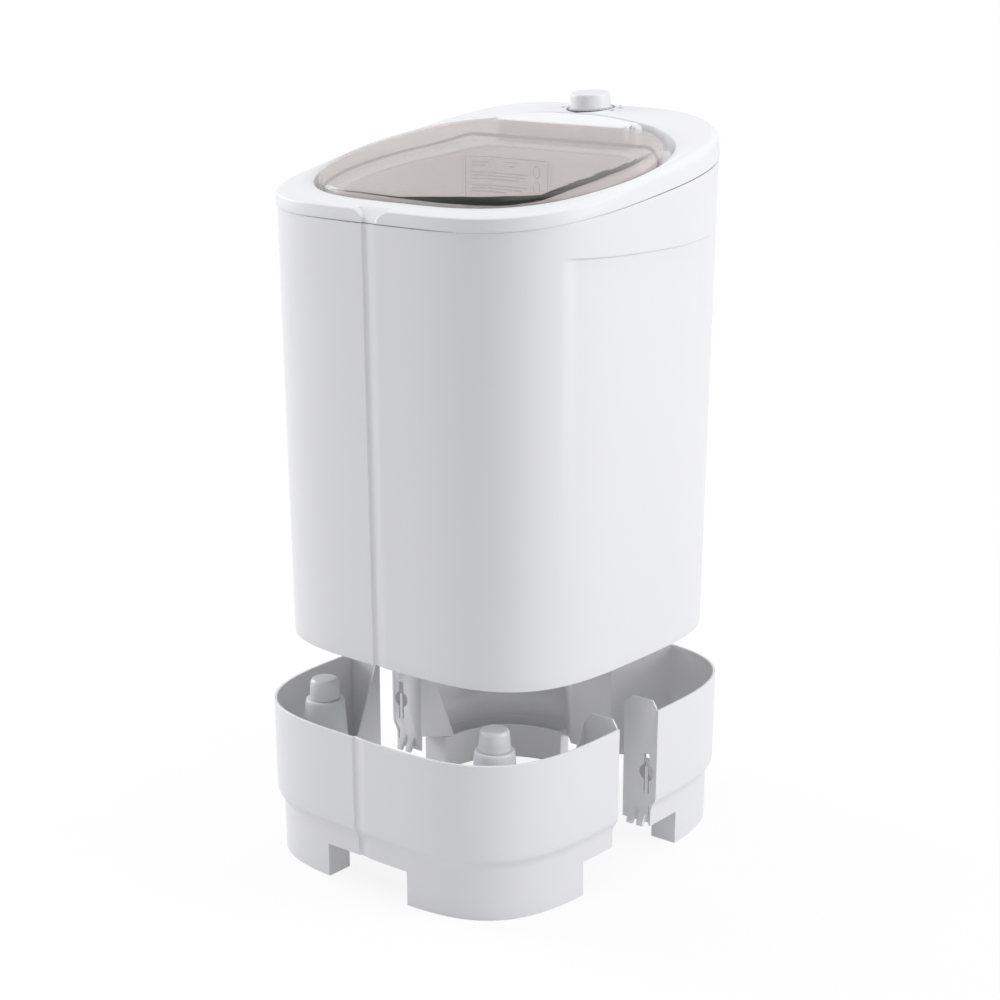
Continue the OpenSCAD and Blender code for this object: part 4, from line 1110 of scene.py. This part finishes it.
def panel_marks():
    """Plain bars, a frame and two ovals on the panel."""
    def bar(x0, x1, z, half):
        return mark_line([(x, z) for x in np.linspace(x0, x1, 2 + int((x1 - x0) / 5))], half)

    def oval(x, z, a, b):
        turn = np.linspace(0, 2 * math.pi, 36, endpoint=False)
        return mark_line([(x + a * math.cos(t), z + b * math.sin(t)) for t in turn], 0.55, True)

    frame_line = [(x, 568.5) for x in np.linspace(-11, -132, 25)] + [(-132, 512.0)]
    frame_line += [(x, 510.0) for x in np.linspace(-131, -12, 25)]
    parts = [mark_line(frame_line, 0.45, True), oval(-29, 554, 5.2, 7.5), oval(-29, 535, 5.2, 7.5)]
    for x1, z in ((-104, 562), (-110, 557.5), (-44, 549), (-48, 545), (-56, 541), (-44, 533), (-52, 529),
                  (-78, 525)):
        parts.append(bar(-126, x1, z, 0.95))
    parts += [bar(-82, -58, 563.5, 0.5), bar(-74, -64, 558, 0.9)]
    return face_outward(merge_objects("panel_marks", parts))


class WASHER_OT_cabinet(bpy.types.Operator):
    """Build the finished wall of the cabinet"""

    bl_idname = "washer.cabinet"
    bl_label = "Cabinet wall"

    def execute(self, context):
        obj = shade(cabinet_wall(sizes()), 24)
        finish_piece(obj, "cabinet", finish("shell"), ["cabinet_shell"])
        return {"FINISHED"}


class WASHER_OT_cover(bpy.types.Operator):
    """Build the finished top cover with its hinge lugs"""

    bl_idname = "washer.cover"
    bl_label = "Top cover"

    def execute(self, context):
        obj = shade(cover_moulding(sizes()), 30)
        finish_piece(obj, "cabinet", finish("shell"), ["top_cover"])
        lugs = shade(hinge_lugs())
        finish_piece(lugs, "cabinet", finish("shell"))
        return {"FINISHED"}


class WASHER_OT_stand(bpy.types.Operator):
    """Build the two halves of the stand"""

    bl_idname = "washer.stand"
    bl_label = "Stand halves"

    def execute(self, context):
        for name, sign, body, node in (
            ("stand_front_moulding", -1, "stand_front", "base_front_shell"),
            ("stand_rear_moulding", 1, "stand_rear", "base_rear_shell"),
        ):
            obj = shade(stand_part(name, sign, sizes()), 24)
            finish_piece(obj, body, finish("shell"), [node])
        return {"FINISHED"}


class WASHER_OT_plates(bpy.types.Operator):
    """Build the end plates with rounded edges"""

    bl_idname = "washer.plates"
    bl_label = "End plates"

    def execute(self, context):
        for end, body in (("front", "stand_front"), ("rear", "stand_rear")):
            for side in ("left", "right"):
                node = f"{end}_end_plate_{side}"
                obj = solid_copy(node, f"{end}_latch_plate_{side}")
                shade(soften(obj, sizes().edge_round))
                finish_piece(obj, body, finish("shell"), [node])
        return {"FINISHED"}


class WASHER_OT_posts(bpy.types.Operator):
    """Build the support posts and their tips"""

    bl_idname = "washer.posts"
    bl_label = "Support posts"

    def execute(self, context):
        top = STAND_TOP
        for side in ("left", "right"):
            low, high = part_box(f"support_post_{side}")
            at = ((low.x + high.x) / 2 / MM, (low.y + high.y) / 2 / MM, 0)
            body = fillet([(0, ARCH_H + 3.1), (35, ARCH_H + 3.1), (24.5, top - 8.5), (23.3, top - 4.5),
                           (19.6, top - 4.5), (0, top - 4.5)], 1.6)
            post = shade(lathe(f"post_body_{side}", body, at), 40)
            finish_piece(post, "stand_front", finish("post"), [f"support_post_{side}"])
            tip_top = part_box(f"post_tip_{side}")[1].z / MM
            cap = fillet([(0, top - 4.4), (19.4, top - 4.4), (17.6, tip_top - 3.5), (15, tip_top),
                          (0, tip_top)], 2.2)
            tip = shade(lathe(f"post_cap_{side}", cap, at), 40)
            finish_piece(tip, "stand_front", finish("post"), [f"post_tip_{side}"])
        return {"FINISHED"}


class WASHER_OT_lid(bpy.types.Operator):
    """Build the see-through lid and its hinge strip"""

    bl_idname = "washer.lid"
    bl_label = "Lid and strip"

    def execute(self, context):
        lid = shade(lid_shell(), 40)
        finish_piece(lid, "lid", smoky_lid(), ["lid_panel"])
        # A black ring in the lid's foot, seen through the lid as painted shade.
        shade_ring = shade(lid_painted_shade_ring(), 60)
        finish_piece(shade_ring, "lid", finish("rubber"))
        strip = shade(strip_bar(), 34)
        finish_piece(strip, "lid", finish("strip"), ["hinge_strip"])
        return {"FINISHED"}


class WASHER_OT_tub(bpy.types.Operator):
    """Build the inside of the tub"""

    bl_idname = "washer.tub"
    bl_label = "Wash tub"

    def execute(self, context):
        finish_piece(shade(tub_vessel(), 40), "cabinet", finish("tub"), ["wash_tub"])
        finish_piece(panel_marks(), "cabinet", finish("print"))
        return {"FINISHED"}


class WASHER_OT_dial(bpy.types.Operator):
    """Build the knob, the dial ring and its marks"""

    bl_idname = "washer.dial"
    bl_label = "Dial"

    def execute(self, context):
        marks, turn = finish("marks"), dial_matrix()
        low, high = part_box("knob")
        r, h = (high.x - low.x) / 2 / MM, KNOB_H
        profile = fillet([(0, h - 4), (r - 2.6, h - 4), (r - 2.4, 1.6), (r - 0.1, 1.6), (r - 1.0, h - 2.2),
                          (r - 1.9, h - 0.5), (r - 4, h), (0, h)], 0.9)
        knob = shade(lathe("knob_cap", profile, (0, 0, 0), turn, 128), 40)
        finish_piece(knob, "knob", finish("knob"), ["knob"])
        edge_r = DIAL_R + 0.3
        disc = [(0, -1.6), (DIAL_R, -1.6), (edge_r, 0.6), (edge_r, 1.0), (DIAL_R, 1.2), (0, 1.2)]
        face = shade(lathe("dial_face", disc, (0, 0, 0), turn), 40)
        finish_piece(face, "cabinet", finish("dial"))
        edge = fillet([(29.6, -1.4), (30.5, -1.4), (30.5, 1.35), (29.6, 1.35)], 0.2, 2)
        rim = turned_ring("dial_edge", edge, turn)
        finish_piece(shade(rim, 40), "cabinet", marks, ["dial_ring"])
        finish_piece(ticks(sizes(), marks), "cabinet", marks)
        numbers = dial_numbers(bpy.data.objects["cover_moulding"])
        finish_piece(numbers, "cabinet", marks)
        return {"FINISHED"}


class WASHER_OT_inner(bpy.types.Operator):
    """Finish the hidden parts in their materials"""

    bl_idname = "washer.inner"
    bl_label = "Hidden parts"

    def execute(self, context):
        table = {
            "steel": ["post_screws", "chassis_plate", "chassis_screws", "housing_bolts", "agitator_screw",
                      "agitator_shaft", "pulley_nut", "motor_bracket", "motor_bolts", "motor_shaft",
                      "capacitor_clip", "hinge_pins", "timer_screws", "timer_shaft"],
            "alloy": ["bearing_housing", "drive_pulley", "motor_housing", "motor_pulley"],
            "rubber": ["tub_gasket", "tip_seats", "shaft_seal", "drive_belt", "motor_bushes", "cord_gland",
                       "wiring_harness"],
            "grey": ["agitator_cap", "capacitor", "drain_tube", "drain_outlet", "timer_body"],
            "bronze": ["shaft_bushes"],
            "tub": ["agitator"],
            "panel": ["instruction_panel"],
        }
        for kind, names in table.items():
            for name in names:
                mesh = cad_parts[name].data
                mesh.materials.clear()
                mesh.materials.append(finish(kind))
        return {"FINISHED"}


def floor_finish():
    """White to the camera and in reflections, darker for other light, with the shadow kept."""
    mat, tree, shader = new_material("studio floor white")
    rays = make(tree, "ShaderNodeLightPath").outputs
    seen = maths(tree, "MAXIMUM", rays["Is Camera Ray"], rays["Is Glossy Ray"])
    seen = maths(tree, "MAXIMUM", seen, rays["Is Transmission Ray"])
    feed(tree, shader, Roughness=0.9, Specular_IOR_Level=0.0, Base_Color=spread(tree, seen, 0.68, 0.9))
    reach = tree.nodes.new("ShaderNodeVectorMath")
    reach.operation = "LENGTH"
    put(tree, reach.inputs[0], make(tree, "ShaderNodeTexCoord").outputs["Object"])
    far = spread(tree, reach.outputs["Value"], 0.86, 1.0, 0.6, 1.6)
    white = make(tree, "ShaderNodeEmission", Color=(1, 1, 1, 1))
    part = maths(tree, "MULTIPLY", seen, far)
    feed(tree, tree.nodes["Material Output"], Surface=mixed(tree, part, shader.outputs[0], white.outputs[0]))
    return mat


def studio_world():
    """Soft pale light all round, plain white to the camera."""
    world = bpy.data.worlds.new("studio")
    world.use_nodes = True
    tree = world.node_tree
    soft = feed(tree, tree.nodes["Background"], Color=(0.97, 0.975, 1.0, 1), Strength=0.64)
    white = make(tree, "ShaderNodeBackground", Color=(1, 1, 1, 1), Strength=1.0)
    seen = make(tree, "ShaderNodeLightPath").outputs["Is Camera Ray"]
    feed(tree, tree.nodes["World Output"], Surface=mixed(tree, seen, soft.outputs[0], white.outputs[0]))
    return world


def add_lamp(name, at, aim_z, power, size):
    """A square lamp that faces a point on the upright axis."""
    data = bpy.data.lights.new(name, "AREA")
    data.energy = power
    data.size = size
    obj = placed(name, data)
    obj.location = at
    obj.rotation_euler = (Vector((0, 0, aim_z)) - Vector(at)).to_track_quat("-Z", "Y").to_euler()


def add_camera():
    """The camera at the photograph's angle."""
    cam = bpy.data.cameras.new("camera")
    cam.sensor_width = SENSOR_W
    cam.lens = SENSOR_W * FOCAL_PX / PICTURE_PX
    cam.clip_end = 50
    eye = placed("camera", cam)
    turn, rise = math.radians(CAMERA_TURN), math.radians(CAMERA_RISE)
    aside = CAMERA_ASIDE * MM
    aim = Vector((aside * math.cos(turn), aside * math.sin(turn), CAMERA_AIM_Z * MM))
    away = Vector((math.sin(turn) * math.cos(rise), -math.cos(turn) * math.cos(rise), math.sin(rise)))
    eye.location = aim + CAMERA_REACH * MM * away
    eye.rotation_euler = (-away).to_track_quat("-Z", "Y").to_euler()
    return eye


class WASHER_OT_stage(bpy.types.Operator):
    """Set up the floor, the lights and the camera"""

    bl_idname = "washer.stage"
    bl_label = "Stage"

    def execute(self, context):
        scene = context.scene
        scene.view_settings.view_transform = "Standard"
        floor = box_piece("studio_floor", (-9000, -9000, -20), (9000, 9000, 0))
        floor.data.materials.append(floor_finish())
        scene.world = studio_world()
        add_lamp("right_softbox", (2.97, 1.2, 1.7), 0.5, 46, 1.4)
        add_lamp("left_softbox", (-3.13, -0.7, 1.7), 0.5, 59, 1.4)
        add_lamp("top_softbox", (0.2, 0.1, 3.4), 0.6, 26, 2.0)
        scene.camera = add_camera()
        return {"FINISHED"}


class WASHER_PT_panel(bpy.types.Panel):
    """Sizes, colours and the pieces in order"""

    bl_idname = "WASHER_PT_panel"
    bl_label = "Small washing machine"
    bl_space_type = "VIEW_3D"
    bl_region_type = "UI"
    bl_category = "Washer"

    def draw(self, context):
        for group in (context.scene.washer_sizes, context.scene.washer_colours):
            for name in group.__annotations__:
                self.layout.prop(group, name)
        for cls in OPERATORS:
            self.layout.operator(cls.bl_idname)


OPERATORS = (
    WASHER_OT_cabinet, WASHER_OT_cover, WASHER_OT_stand, WASHER_OT_plates, WASHER_OT_posts, WASHER_OT_lid,
    WASHER_OT_tub, WASHER_OT_dial, WASHER_OT_inner, WASHER_OT_stage,
)
CLASSES = (WasherSizes, WasherColours) + OPERATORS + (WASHER_PT_panel,)


def register():
    for cls in CLASSES:
        bpy.utils.register_class(cls)
    bpy.types.Scene.washer_sizes = bpy.props.PointerProperty(type=WasherSizes)
    bpy.types.Scene.washer_colours = bpy.props.PointerProperty(type=WasherColours)


def unregister():
    del bpy.types.Scene.washer_colours
    del bpy.types.Scene.washer_sizes
    for cls in reversed(CLASSES):
        bpy.utils.unregister_class(cls)


def main():
    register()
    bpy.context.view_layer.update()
    bpy.ops.washer.cabinet()
    bpy.ops.washer.cover()
    bpy.ops.washer.stand()
    bpy.ops.washer.plates()
    bpy.ops.washer.posts()
    bpy.ops.washer.lid()
    bpy.ops.washer.tub()
    bpy.ops.washer.dial()
    bpy.ops.washer.inner()
    bpy.ops.washer.stage()


if __name__ == "__main__":
    main()
